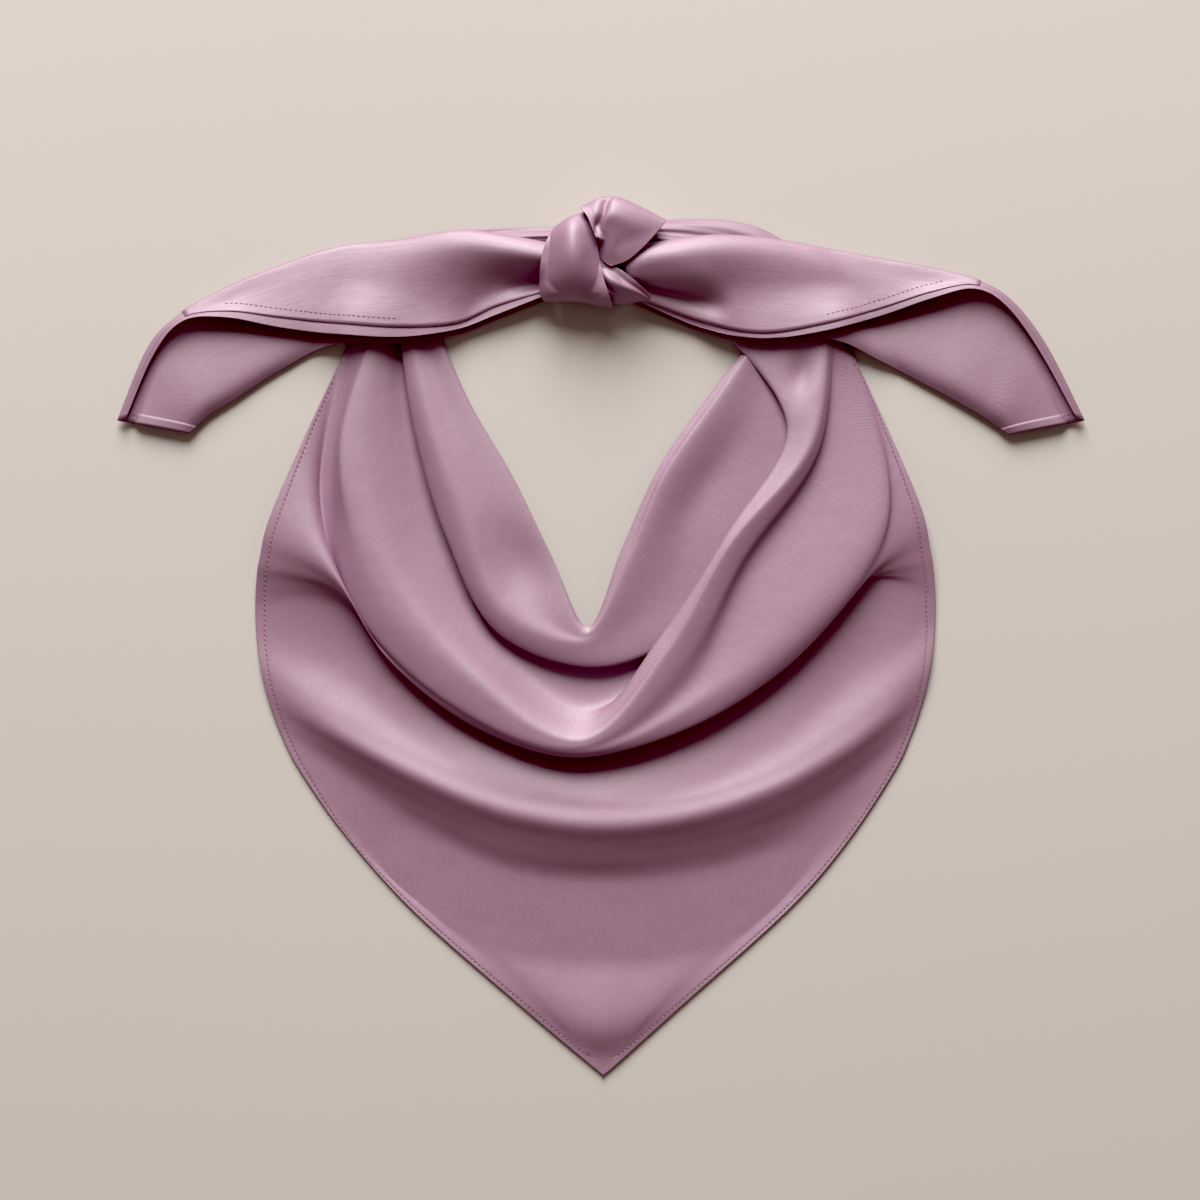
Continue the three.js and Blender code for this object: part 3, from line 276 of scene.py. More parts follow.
# The pieces of the knot in ribs from one side of each piece to the other.
WRAP_RIBS = [
    Rib("under the fan", (-0.325, 0.161), (-0.23, 0.196), (-0.127, 0.213), (0.185, 0.222, 0.222)),
    Rib("top turn", (-0.373, 0.222), (-0.27, 0.291), (-0.143, 0.343), (0.481, 0.593, 0.556)),
    Rib("shoulder", (-0.421, 0.152), (-0.262, 0.222), (-0.087, 0.239), (0.556, 0.815, 0.667)),
    Rib("upper", (-0.468, 0.048), (-0.262, 0.074), (-0.056, 0.065), (0.519, 0.926, 0.704)),
    Rib("middle", (-0.5, -0.117), (-0.262, -0.091), (-0.032, -0.091), (0.481, 0.941, 0.704)),
    Rib("lower", (-0.508, -0.265), (-0.254, -0.257), (0, -0.248), (0.463, 0.837, 0.667)),
    Rib("lip", (-0.5, -0.378), (-0.23, -0.387), (0.04, -0.387), (0.37, 0.63, 0.519)),
    Rib("bottom turn", (-0.46, -0.422), (-0.19, -0.43), (0.071, -0.483), (0.333, 0.444, 0.333)),
    Rib("under", (-0.381, -0.396), (-0.19, -0.404), (0.04, -0.439), (0.148, 0.185, 0.148)),
]
FAN_RIBS = [
    Rib("foot", (-0.032, -0.065), (0, -0.1), (0.048, -0.135), (0.63, 0.667, 0.685)),
    Rib("gather", (-0.048, 0.057), (0.04, 0.013), (0.175, -0.091), (0.667, 0.759, 0.722)),
    Rib("lower", (-0.095, 0.187), (0.079, 0.17), (0.294, 0.013), (0.778, 0.833, 0.722)),
    Rib("upper", (-0.135, 0.291), (0.095, 0.309), (0.413, 0.152), (0.796, 0.87, 0.685)),
    Rib("brow", (-0.19, 0.37), (0.071, 0.448), (0.484, 0.257), (0.63, 0.741, 0.593)),
    Rib("turn", (-0.159, 0.361), (0.079, 0.465), (0.468, 0.283), (0.444, 0.519, 0.389)),
    Rib("under", (-0.111, 0.317), (0.095, 0.396), (0.413, 0.265), (0.222, 0.259, 0.222)),
]
ROLL_RIBS = [
    Rib("under the wrap", (-0.048, -0.074), (-0.032, -0.187), (-0.016, -0.317), (0.519, 0.63, 0.481)),
    Rib("full", (0.04, -0.109), (0.04, -0.257), (0.048, -0.422), (0.556, 0.722, 0.407)),
    Rib("middle", (0.151, -0.178), (0.151, -0.309), (0.151, -0.448), (0.537, 0.704, 0.389)),
    Rib("narrow", (0.254, -0.265), (0.254, -0.352), (0.246, -0.439), (0.5, 0.63, 0.37)),
    Rib("neck", (0.325, -0.335), (0.325, -0.387), (0.31, -0.43), (0.444, 0.519, 0.352)),
    Rib("end", (0.373, -0.378), (0.365, -0.404), (0.349, -0.422), (0.352, 0.37, 0.333)),
]


def smoothstep(value):
    share = np.clip(value, 0, 1)
    return share * share * (3 - 2 * share)


def through(rows, at):
    """A smooth line through rows of numbers, read at every place in at, which counts rows."""
    rows = np.asarray(rows, float)
    at = np.atleast_1d(np.asarray(at, float))
    last = len(rows) - 1
    first = np.clip(np.floor(at).astype(int), 0, last - 1)
    share = (at - first).reshape((-1,) + (1,) * (rows.ndim - 1))
    a, b, c, d = (rows[np.clip(first + step, 0, last)] for step in (-1, 0, 1, 2))
    return 0.5 * (
        2 * b
        + (c - a) * share
        + (2 * a - 5 * b + 4 * c - d) * share**2
        + (3 * b - a - 3 * c + d) * share**3
    )


def through_across(rows, at):
    """The same across each row of a grid."""
    return np.swapaxes(through(np.swapaxes(rows, 0, 1), at), 0, 1)


def every(step, last):
    """The places from 0 to last, a step apart."""
    return np.arange(0, last + ROUNDING, step)


# The bib

def on_side(side, at):
    """A place on a side of the bib: 0 to 1 is the shoulder, 1 to 2 the hem down to the point."""
    stations = [station.at for station in side]
    points = np.array([(station.x * BIB_HALF, -station.y * BIB_DROP) for station in side])
    row = np.interp(at, stations, np.arange(len(side)))
    shoulder = stations.index(1)
    if at <= 1:
        return np.array([np.interp(row, np.arange(len(side)), points[:, axis]) for axis in (0, 1)])
    return through(points[shoulder:], row - shoulder)[0]


def fold_line(fold, across):
    """One line of cloth from the left side to the right, with its heights."""
    places = np.array(fold.line) * (BIB_HALF, -BIB_DROP)
    line = np.vstack([on_side(LEFT_SIDE, fold.left), places, on_side(RIGHT_SIDE, fold.right)])
    heights = np.array(fold.heights)[:, None] * BIB_LOFT
    return through(np.hstack([line, heights]), (len(line) - 1) * across)


def dents_at(dents, names, x, y, row):
    """The height that the dents add at the places x, y of the fold lines in row."""
    total = np.zeros_like(x)
    for dent in dents:
        turn = math.radians(dent.turn)
        dx = x - dent.x * BIB_HALF
        dy = -y - dent.y * BIB_DROP
        p = (dx * math.cos(turn) + dy * math.sin(turn)) / (dent.long * BIB_HALF)
        q = (dy * math.cos(turn) - dx * math.sin(turn)) / (dent.wide * BIB_HALF)
        inside = smoothstep(row - names.index(dent.start)) * smoothstep(names.index(dent.stop) - row)
        total += dent.height * BIB_LOFT * np.exp(-(p * p + q * q)) * inside
    return total


# How the columns crowd towards the sides, and from where on a side the bib is lifted by its hem
CROWDING = 1.2
LIFTED_FROM = 0.9
LIFTED_FADE = 0.1


def stations_of(side, rows):
    """Where each row of the bib leaves one of its sides."""
    return through([[getattr(fold, side)] for fold in FOLDS], rows)


def bib_grid(columns, rows_per_fold):
    half = np.linspace(0, 1, columns // 2 + 1) ** CROWDING / 2
    across = np.concatenate([half, 1 - half[::-1][1:]])
    lines = np.array([fold_line(fold, across) for fold in FOLDS])
    rows = np.linspace(0, len(FOLDS) - 1, (len(FOLDS) - 1) * rows_per_fold + 1)
    grid = through(lines, rows)
    x, y, z = grid[..., 0], grid[..., 1], grid[..., 2]
    z = z + dents_at(DENTS, [fold.name for fold in FOLDS], x, y, rows[:, None])
    lift = np.zeros_like(z)
    for side, end in (("left", 0), ("right", -1)):
        hemmed = smoothstep((stations_of(side, rows) - LIFTED_FROM) / LIFTED_FADE)
        away = np.hypot(x - x[:, [end]], y - y[:, [end]]) / HEM_WIDTH
        lift = np.maximum(lift, hemmed * (HEM_WALL + GAP) * (1 - smoothstep(away - 1)))
    grid[..., 2] = np.maximum(z - SETTLE, CLOTH / 2 + lift)
    return grid, rows


# What already lies on the surface

CELL = 0.0015
FIELD_HALF = 0.34
CELLS = round(2 * FIELD_HALF / CELL)
heights = np.zeros((CELLS, CELLS))


def cell_of(value):
    return np.clip(np.round((value + FIELD_HALF) / CELL).astype(int), 0, CELLS - 1)


def lay_down(grid):
    """Keeps how high a piece reaches, so that the next one can be laid over it."""
    fine = through_across(through(grid, every(0.5, len(grid) - 1)), every(0.5, grid.shape[1] - 1))
    np.maximum.at(heights, (cell_of(fine[..., 1]), cell_of(fine[..., 0])), fine[..., 2] + CLOTH / 2)


def ground_under(spread, soft):
    """The lowest height at which a sheet clears what lies below it, falling off softly beside it."""
    shifts = range(-spread, spread + 1)
    top = np.where(heights > 0, heights + GAP + CLOTH / 2, 0)
    top = np.max([np.roll(top, step, 0) for step in shifts], axis=0)
    top = np.max([np.roll(top, step, 1) for step in shifts], axis=0)
    shifts = range(-soft, soft + 1)
    top = np.mean([np.roll(top, step, 0) for step in shifts], axis=0)
    top = np.mean([np.roll(top, step, 1) for step in shifts], axis=0)

    def at(x, y):
        column, line = (x + FIELD_HALF) / CELL, (y + FIELD_HALF) / CELL
        i, j = np.floor(column).astype(int), np.floor(line).astype(int)
        s, t = column - i, line - j
        near = top[j, i] * (1 - s) + top[j, i + 1] * s
        far = top[j + 1, i] * (1 - s) + top[j + 1, i + 1] * s
        return near * (1 - t) + far * t

    return at


def normals_of(grid):
    down = np.gradient(grid, axis=0)
    across = np.gradient(grid, axis=1)
    normals = np.cross(across, down)
    return normals / np.maximum(np.linalg.norm(normals, axis=2, keepdims=True), 1e-12)


def creased(grid, creases):
    """Folds pressed into a piece. Each runs between two places of it (across, along), so deep and so wide."""
    rows, columns = grid.shape[:2]
    along, across = np.meshgrid(np.linspace(0, 1, rows), np.linspace(0, 1, columns), indexing="ij")
    press = np.zeros((rows, columns))
    for u0, v0, u1, v1, depth, width in creases:
        run_u, run_v = u1 - u0, v1 - v0
        share = ((across - u0) * run_u + (along - v0) * run_v) / (run_u**2 + run_v**2)
        near = np.clip(share, 0, 1)
        away = np.hypot(across - u0 - near * run_u, along - v0 - near * run_v)
        fade = np.clip(1 - np.abs(near * 2 - 1) ** 4, 0, 1)
        press += depth * np.exp(-((away / width) ** 2)) * fade
    up = normals_of(grid)
    up *= np.sign(up[..., 2:] + 1e-9)
    return grid - up * press[..., None]


# The free ends. A section has nine places: the lower edge of the back, its ridge, its valley, the place under
# the rolled top, the rolled top, and four on the flap that comes over it. The tables leave these shares open.

TURN_LENGTH = 0.085
MOST_UNDER = 0.4
MOST_OVER = 0.45
RIDGE_AT = 0.17
VALLEY_AT = 0.68
LEAST_FLAP = 0.25
MOST_UNDER_HEIGHT = 0.16
TURN_HEIGHT = 0.13
UNDER_PLACE, FLAP_MIDDLE, FLAP_END, LAST_PLACE = 3, 6, 7, 8
FRONT_FROM = 3.5
# How deep a free end may sink into the soft ground before it is lifted
SINK = 0.0012


def tail_section(row, side):
    root = TAIL_ROOT["left"] if side < 0 else TAIL_ROOT["right"]

    def place(point):
        return np.array([
            KNOT_X + side * (root * KNOT_WIDTH + point[0] * TAIL_LENGTH),
            KNOT_RISE - point[1] * TAIL_DROP + TAIL_ROOT["y"] * KNOT_HEIGHT,
        ])

    top, edge, low = place(row.top), place(row.edge), place(row.low)
    turn = TURN_LENGTH * TAIL_DROP
    under = top + (low - top) * min(turn / np.linalg.norm(low - top), MOST_UNDER)
    over = top + (edge - top) * min(turn / np.linalg.norm(edge - top), MOST_OVER)
    z_low, z_ridge, z_valley, z_roll, z_middle, z_edge = row.heights
    flap_heights = [[z_roll], [z_middle], [z_edge]]

    def on_flap(share):
        return *(over + (edge - over) * share), through(flap_heights, 2 * share)[0, 0]

    front = max(row.front, LEAST_FLAP)
    section = [
        (*low, z_low),
        (*(low + (top - low) * RIDGE_AT), z_ridge),
        (*(low + (top - low) * VALLEY_AT), z_valley),
        (*under, min(z_valley, MOST_UNDER_HEIGHT)),
        (*top, (z_roll + TURN_HEIGHT) / 2),
        on_flap(0),
        on_flap(front / 2),
        on_flap(front),
        on_flap(1),
    ]
    return np.array(section) * (1, 1, TAIL_LOFT)


def tail_grid(sections, side, ground, along, across):
    rows = np.array([tail_section(row, side) for row in sections])
    rows = through_across(rows, every(1 / across, LAST_PLACE))
    grid = through(rows, every(1 / along, len(sections) - 1))
    lift = np.maximum(0, ground(grid[..., 0], grid[..., 1]) - SINK)
    grid[..., 2] = np.maximum(grid[..., 2], CLOTH / 2) + lift
    return grid


# The knot

def ribbed(ribs, free, along, across):
    """A piece of the knot, with so many rows for each rib, laid over what is below it except where free."""
    under = ground_under(spread=3, soft=2)

    def place(point, height):
        return KNOT_X + point[0] * KNOT_WIDTH, KNOT_RISE + point[1] * KNOT_HEIGHT, height * KNOT_LOFT

    rows = np.array([
        [place(point, height) for point, height in zip((rib.left, rib.middle, rib.right), rib.heights)]
        for rib in ribs
    ])
    rows = through_across(rows, np.linspace(0, 2, across + 1))
    at = every(1 / along, len(ribs) - 1)
    grid = through(rows, at)
    laid = np.maximum(grid[..., 2], under(grid[..., 0], grid[..., 1]))
    loose = np.any([(at >= start) & (at <= stop) for start, stop in free], axis=0) if free else at < 0
    grid[..., 2] = np.where(loose[:, None], grid[..., 2], laid)
    return grid


# The neck bands. Pleats: height in metres, waves across, how they wander along.

BAND_START = 0.0006
BAND_INSET = 0.02 * BIB_HALF
BAND_PLEATS = ((0.0006, 7, 2.5), (0.0002, 19, -1.5))
BAND_HEIGHT_FROM, BAND_HEIGHT_GAIN = 0.15, 0.30
BAND_ARCH, BAND_ARCH_FOOT = 1.35, 0.22
BAND_LIFT = 0.0008


def band_grid(side, along, across):
    """A gathered band from the shoulder of the bib up into the knot, on a path with two guides."""
    hem_side = LEFT_SIDE if side < 0 else RIGHT_SIDE
    inner = hem_side[0].x * BIB_HALF
    outer = next(station.x for station in hem_side if station.at == 1) * BIB_HALF
    start = np.array([(inner + outer) / 2, BAND_START])
    at_end = BAND_END["left" if side < 0 else "right"]
    end = np.array([KNOT_X + side * at_end["x"] * KNOT_WIDTH, KNOT_RISE + at_end["y"] * KNOT_HEIGHT])
    up = np.array([start[0] - side * BAND_INSET, start[1] + KNOT_RISE])
    inwards = np.array([(start[0] + end[0]) / 2, end[1]])
    t = np.linspace(0, 1, along + 1)[:, None]
    path = (1 - t) ** 3 * start + 3 * (1 - t) ** 2 * t * up + 3 * (1 - t) * t**2 * inwards + t**3 * end
    tangent = np.gradient(path, axis=0)
    tangent /= np.linalg.norm(tangent, axis=1, keepdims=True)
    normal = np.stack([tangent[:, 1], -tangent[:, 0]], axis=1)
    start_half = abs(outer - inner) / 2 - BAND_INSET
    half = start_half + (at_end["half"] * KNOT_HEIGHT - start_half) * smoothstep(t)
    s = np.linspace(-1, 1, across + 1)
    places = path[:, None, :] + (half * s)[..., None] * normal[:, None, :]
    pleats = sum(height * np.cos(s * waves + wander * t) for height, waves, wander in BAND_PLEATS)
    loft = (BAND_HEIGHT_FROM + BAND_HEIGHT_GAIN * smoothstep(t)) * TAIL_LOFT
    z = CLOTH / 2 + loft * (np.cos(BAND_ARCH * s) - BAND_ARCH_FOOT) + BAND_LIFT + pleats
    return np.concatenate([places, np.broadcast_to(z, places.shape[:2])[..., None]], axis=2)


# Meshes

def grid_object(name, grid, wall=CLOTH, hem=None):
    """A sheet of cloth on a grid of points, with a UV map in metres and how far each point is from a hem."""
    rows, columns = grid.shape[:2]
    mesh = bpy.data.meshes.new(name)
    bm = bmesh.new()
    bmesh.ops.create_grid(bm, x_segments=columns - 1, y_segments=rows - 1, size=0.5)
    bm.to_mesh(mesh)
    bm.free()
    flat = np.empty(len(mesh.vertices) * 3)
    mesh.vertices.foreach_get("co", flat)
    flat = flat.reshape(-1, 3) + 0.5
    column = np.round(flat[:, 0] * (columns - 1)).astype(int)
    row = rows - 1 - np.round(flat[:, 1] * (rows - 1)).astype(int)
    places = grid[row, column] + MIDDLE
    mesh.vertices.foreach_set("co", places.ravel())
    steps_u = np.linalg.norm(np.diff(grid, axis=1, prepend=grid[:, :1]), axis=2).cumsum(axis=1)
    steps_u -= steps_u[:, [columns // 2]]
    steps_v = np.linalg.norm(np.diff(grid, axis=0, prepend=grid[:1]), axis=2).cumsum(axis=0)
    cloth = np.stack([steps_u[row, column], steps_v[row, column]], axis=1)
    corners = np.empty(len(mesh.loops), dtype=np.int32)
    mesh.loops.foreach_get("vertex_index", corners)
    uv_map = mesh.uv_layers.new(name="cloth")
    uv_map.data.foreach_set("uv", cloth[corners].ravel())
    mesh.polygons.foreach_set("use_smooth", [True] * len(mesh.polygons))
    mesh.update()
    piece = bpy.data.objects.new(name, mesh)
    bpy.context.scene.collection.objects.link(piece)
    if hem is not None:
        layer = mesh.attributes.new("hem", "FLOAT", "POINT")
        layer.data.foreach_set("value", hem[row, column])
    wall_modifier = piece.modifiers.new("wall", "SOLIDIFY")
    wall_modifier.thickness = wall
    wall_modifier.offset = 0
    return piece


def lengths_along(line):
    """How far each point of a line is from its first one."""
    steps = np.linalg.norm(np.diff(line, axis=0), axis=1)
    return np.concatenate([[0], np.cumsum(steps)])


def read_at(values, at, distance):
    """Values along a line, which stand at the distances in at, read at one distance."""
    return np.array([np.interp(distance, at, values[:, axis]) for axis in range(3)])


def point_along(line, distance):
    return read_at(line, lengths_along(line), distance)


def strip(lines, depths):
    """A strip beside an edge, on lines that run inwards from that edge."""
    return np.array([[point_along(line, depth) for depth in depths] for line in lines])


# How far a stitch reaches from its middle, and its rings: place along it, thickness, how high it rises
STITCH_REACH = 0.33 * STITCH_PITCH
STITCH_RINGS = ((-1, 0.35, 0), (-0.7, 0.85, 0.6), (0, 1, 1), (0.7, 0.85, 0.6), (1, 0.35, 0))
STITCH_RISE = 0.3
THREAD_SIDES = 6


def stitches(name, lines, lift):
    """A row of short threads along each line of places and normals."""
    mesh = bpy.data.meshes.new(name)
    bm = bmesh.new()
    around = np.arange(THREAD_SIDES) * math.tau / THREAD_SIDES
    shift = Vector(MIDDLE)
    for places, normals in lines:
        at = lengths_along(places)
        for middle in np.arange(STITCH_PITCH, at[-1] - STITCH_PITCH, STITCH_PITCH):
            ends = (middle - STITCH_REACH, middle, middle + STITCH_REACH)
            before, centre, after = (Vector(read_at(places, at, end)) for end in ends)
            up = Vector(read_at(normals, at, middle)).normalized()
            run = after - before
            side = up.cross(run).normalized()
            rings = []
            for share, width, rise in STITCH_RINGS:
                spot = centre + run * 0.5 * share + up * (lift + rise * THREAD * STITCH_RISE)
                reach = THREAD * width
                rings.append([
                    bm.verts.new(spot + reach * (side * math.cos(turn) + up * math.sin(turn)) / 2 + shift)
                    for turn in around
                ])
            for first, second in zip(rings, rings[1:]):
                for k in range(THREAD_SIDES):
                    beside = (k + 1) % THREAD_SIDES
                    bm.faces.new((first[k], first[beside], second[beside], second[k]))
            bm.faces.new(rings[0][::-1])
            bm.faces.new(rings[-1])
    bmesh.ops.recalc_face_normals(bm, faces=bm.faces)
    bm.to_mesh(mesh)
    bm.free()
    mesh.polygons.foreach_set("use_smooth", [True] * len(mesh.polygons))
    piece = bpy.data.objects.new(name, mesh)
    bpy.context.scene.collection.objects.link(piece)
    return piece


# Materials

class Value:
    """A socket of a node tree that can be reckoned with."""

    def __init__(self, shader, socket):
        self.shader = shader
        self.socket = socket

    def __add__(self, other):
        return self.shader.math("ADD", self, other)

    def __sub__(self, other):
        return self.shader.math("SUBTRACT", self, other)

    def __mul__(self, other):
        return self.shader.math("MULTIPLY", self, other)

    def wave(self, pitch):
        return self.shader.math("SINE", self * (math.tau / pitch))

    def bell(self, middle, width):
        away = (self - middle) * (1 / width)
        return self.shader.math("POWER", math.e, away * away * -1)


class Shader:
    """One procedural material."""

    def __init__(self, name):
        self.material = bpy.data.materials.new(name)
        self.material.use_nodes = True
        self.tree = self.material.node_tree
        self.surface = self.tree.nodes["Principled BSDF"]

    def node(self, kind, output=0, sockets=(), **settings):
        node = self.tree.nodes.new(kind)
        for key, value in settings.items():
            setattr(node, key, value)
        for key, value in dict(sockets).items():
            self.feed(node.inputs[key], value)
        return Value(self, node.outputs[output])

    def feed(self, socket, value):
        if isinstance(value, Value):
            self.tree.links.new(value.socket, socket)
        else:
            socket.default_value = value

    def math(self, operation, first, second=0.0):
        return self.node("ShaderNodeMath", operation=operation, sockets={0: first, 1: second})

    def noise(self, place, scale, detail):
        return self.node("ShaderNodeTexNoise", sockets={"Vector": place, "Scale": scale, "Detail": detail})

    def stretched(self, place, scale):
        return self.node("ShaderNodeVectorMath", operation="MULTIPLY", sockets={0: place, 1: scale})

    def set(self, **inputs):
        for name, value in inputs.items():
            self.feed(self.surface.inputs[name.replace("_", " ")], value)


# The satin: tones, pitches and scales in metres, and what every side of it shares
OUTER_TONES = (0.270, 0.123, 0.201), (0.308, 0.148, 0.232)
WRONG_SIDE_TONES = (0.225, 0.097, 0.163), (0.260, 0.119, 0.190)
OUTER_ROUGH = 0.62
WRONG_SIDE_ROUGH = 0.68
WEAVE_PITCH = 0.00042
TWILL_PITCH, TWILL_SLANT, TWILL_SHARE = 0.0013, 2.2, 0.6
SLUB_SCALE = (900.0, 60.0, 1.0)
CREASE_SCALE = (70.0, 42.0, 42.0)
SOFT_SCALE = 45.0
BROAD_SCALE = 14.0
BUMP_DEPTH = 0.0004
SEAM_WIDTH = 0.0007
SHEEN = {"IOR": 1.9, "Specular_IOR_Level": 1.0, "Sheen_Weight": 0.08, "Sheen_Roughness": 0.4}
THREAD_TONES = (0.25, 0.115, 0.17), (0.36, 0.20, 0.27)
TWIST_SCALE = 2500.0
FLOOR_TONES = (0.60, 0.555, 0.515), (0.625, 0.58, 0.54)


def mixed(shader, share, tones):
    """A colour between two tones."""
    dark, light = tones
    return shader.node("ShaderNodeMix", output=2, data_type="RGBA",
                       sockets={0: share, 6: (*dark, 1), 7: (*light, 1)})


def satin(name, tones, rough, hemmed=False):
    shader = Shader(name)
    cloth = shader.node("ShaderNodeUVMap", uv_map="cloth")
    place = shader.node("ShaderNodeTexCoord", output="Object")
    across = shader.node("ShaderNodeSeparateXYZ", output="X", sockets={0: cloth})
    along = shader.node("ShaderNodeSeparateXYZ", output="Y", sockets={0: cloth})
    threads = across.wave(WEAVE_PITCH) + (across * TWILL_SLANT + along).wave(TWILL_PITCH) * TWILL_SHARE
    slubs = shader.noise(shader.stretched(cloth, SLUB_SCALE), 1.0, detail=2.0)
    softness = shader.noise(place, SOFT_SCALE, detail=3.0)
    broad = shader.noise(place, BROAD_SCALE, detail=2.0)
    shade = (slubs - 0.5) * 0.25 + (softness - 0.5) * 0.3 + (broad - 0.5) * 0.5 + 0.5
    creases = shader.noise(shader.stretched(place, CREASE_SCALE), 1.0, detail=3.0)
    height = threads * 0.03 + slubs * 0.13 + softness * 0.9 + creases * 0.5
    if hemmed:
        edge = shader.node("ShaderNodeAttribute", output="Fac", attribute_name="hem")
        pucker = along.wave(STITCH_PITCH) * 0.25 + 0.75
        height = height - edge.bell(STITCH_DEPTH, SEAM_WIDTH) * pucker * 0.5
    bump = shader.node("ShaderNodeBump", sockets={"Strength": 1.0, "Distance": BUMP_DEPTH, "Height": height})
    shader.set(Base_Color=mixed(shader, shade, tones), Normal=bump,
               Roughness=(slubs - 0.5) * 0.15 + (broad - 0.5) * 0.08 + rough, **SHEEN)
    return shader.material


def thread_material():
    shader = Shader("thread")
    place = shader.node("ShaderNodeTexCoord", output="Object")
    twist = shader.noise(place, TWIST_SCALE, detail=1.0)
    bump = shader.node("ShaderNodeBump", sockets={"Strength": 0.6, "Distance": 0.0001, "Height": twist})
    shader.set(Base_Color=mixed(shader, twist, THREAD_TONES), Normal=bump, Roughness=twist * 0.1 + 0.5)
    return shader.material


def floor_material():
    shader = Shader("floor")
    place = shader.node("ShaderNodeTexCoord", output="Object")
    grain = shader.noise(place, scale=160.0, detail=3.0)
    broad = shader.noise(place, scale=3.0, detail=1.0)
    colour = mixed(shader, grain * 0.3 + broad * 0.7, FLOOR_TONES)
    shader.set(Base_Color=colour, Roughness=broad * 0.05 + 0.88)
    return shader.material


FRONT = satin("satin_front", OUTER_TONES, OUTER_ROUGH)
HEMMED = satin("satin_hemmed", OUTER_TONES, OUTER_ROUGH, hemmed=True)
BACK = satin("satin_wrong_side", WRONG_SIDE_TONES, WRONG_SIDE_ROUGH)
THREADS = thread_material()


def dress(piece, material, slot, *nodes):
    piece.data.materials.append(material)
    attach(piece, "root")
    if nodes:
        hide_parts(*nodes)
    return piece


# The camera looks straight down

WIDTH_SHOWN = 0.528
CAMERA_HEIGHT = 1.6
CAMERA_OVER = (-0.0004, 0.0164)
camera_data = bpy.data.cameras.new("camera")
camera_data.lens = camera_data.sensor_width * CAMERA_HEIGHT / WIDTH_SHOWN
camera = bpy.data.objects.new("camera", camera_data)
camera.location = (*CAMERA_OVER, CAMERA_HEIGHT)
bpy.context.scene.collection.objects.link(camera)
bpy.context.scene.camera = camera

# The bib with its hems. The hem runs from one station of a side to another, and its strip lies between two
# shares of its width from the edge.

BIB_COLUMNS, BIB_ROWS = 144, 6
FLAT_ROW = -20
HEM_FROM, HEM_TO = 1.04, 1.97
HEM_LINES = np.linspace(0.08, 1.02, 6) * HEM_WIDTH
NO_HEM = 0.1
bib, bib_rows = bib_grid(BIB_COLUMNS, BIB_ROWS)
bib_normals = -normals_of(bib)
bib_normals *= np.sign(bib_normals[FLAT_ROW, BIB_COLUMNS // 2, 2])
below = bib - bib_normals * (CLOTH / 2 + GAP + HEM_WALL / 2)
hem_sheets, hem_stitches = {}, {}
distance = np.full(bib.shape[:2], NO_HEM)
for side in SIDES:
    stations = stations_of(side, bib_rows)[:, 0]
    kept = (stations > HEM_FROM) & (stations < HEM_TO)
    turned = slice(None) if side == "left" else slice(None, None, -1)
    hem_sheets[side] = strip(below[kept][:, turned], HEM_LINES)
    lines = bib[kept][:, turned]
    ups = bib_normals[kept][:, turned]
    normals = [read_at(up, lengths_along(line), STITCH_DEPTH) for line, up in zip(lines, ups)]
    hem_stitches[side] = (strip(lines, [STITCH_DEPTH])[:, 0], np.array(normals))
    end = bib[:, [0]] if side == "left" else bib[:, [-1]]
    away = np.linalg.norm(bib - end, axis=2)
    distance = np.minimum(distance, np.where(kept[:, None], away, NO_HEM))

bib_piece = grid_object("bib_cloth", bib, hem=distance)
dress(bib_piece, HEMMED, "satin", "bib")
hem_pieces = {
    side: dress(grid_object(f"hem_{side}", hem_sheets[side], HEM_WALL), BACK, "hem", f"hem_bib_{side}")
    for side in SIDES
}
bib_stitches = dress(stitches("bib_stitches", hem_stitches.values(), CLOTH / 2), THREADS, "hem")
lay_down(bib)

# The neck bands

BAND_ROWS, BAND_COLUMNS = 40, 24
for sign, side in ((-1, "left"), (1, "right")):
    grid = band_grid(sign, BAND_ROWS, BAND_COLUMNS)
    dress(grid_object(f"band_{side}", grid), BACK, "satin_back", f"neck_band_{side}")
    lay_down(grid)

# The free ends. Creases: across and along where each starts and ends, depth in metres, width as a share.

TAIL_ROWS, TAIL_COLUMNS = 8, 6
TAIL_CREASES = {
    "left": [(0.80, -0.03, 0.79, 0.10, 0.0018, 0.03)],
    "right": [(0.80, -0.05, 0.80, 0.16, 0.0040, 0.032), (0.74, 0.02, 0.70, 0.14, -0.0010, 0.04)],
}
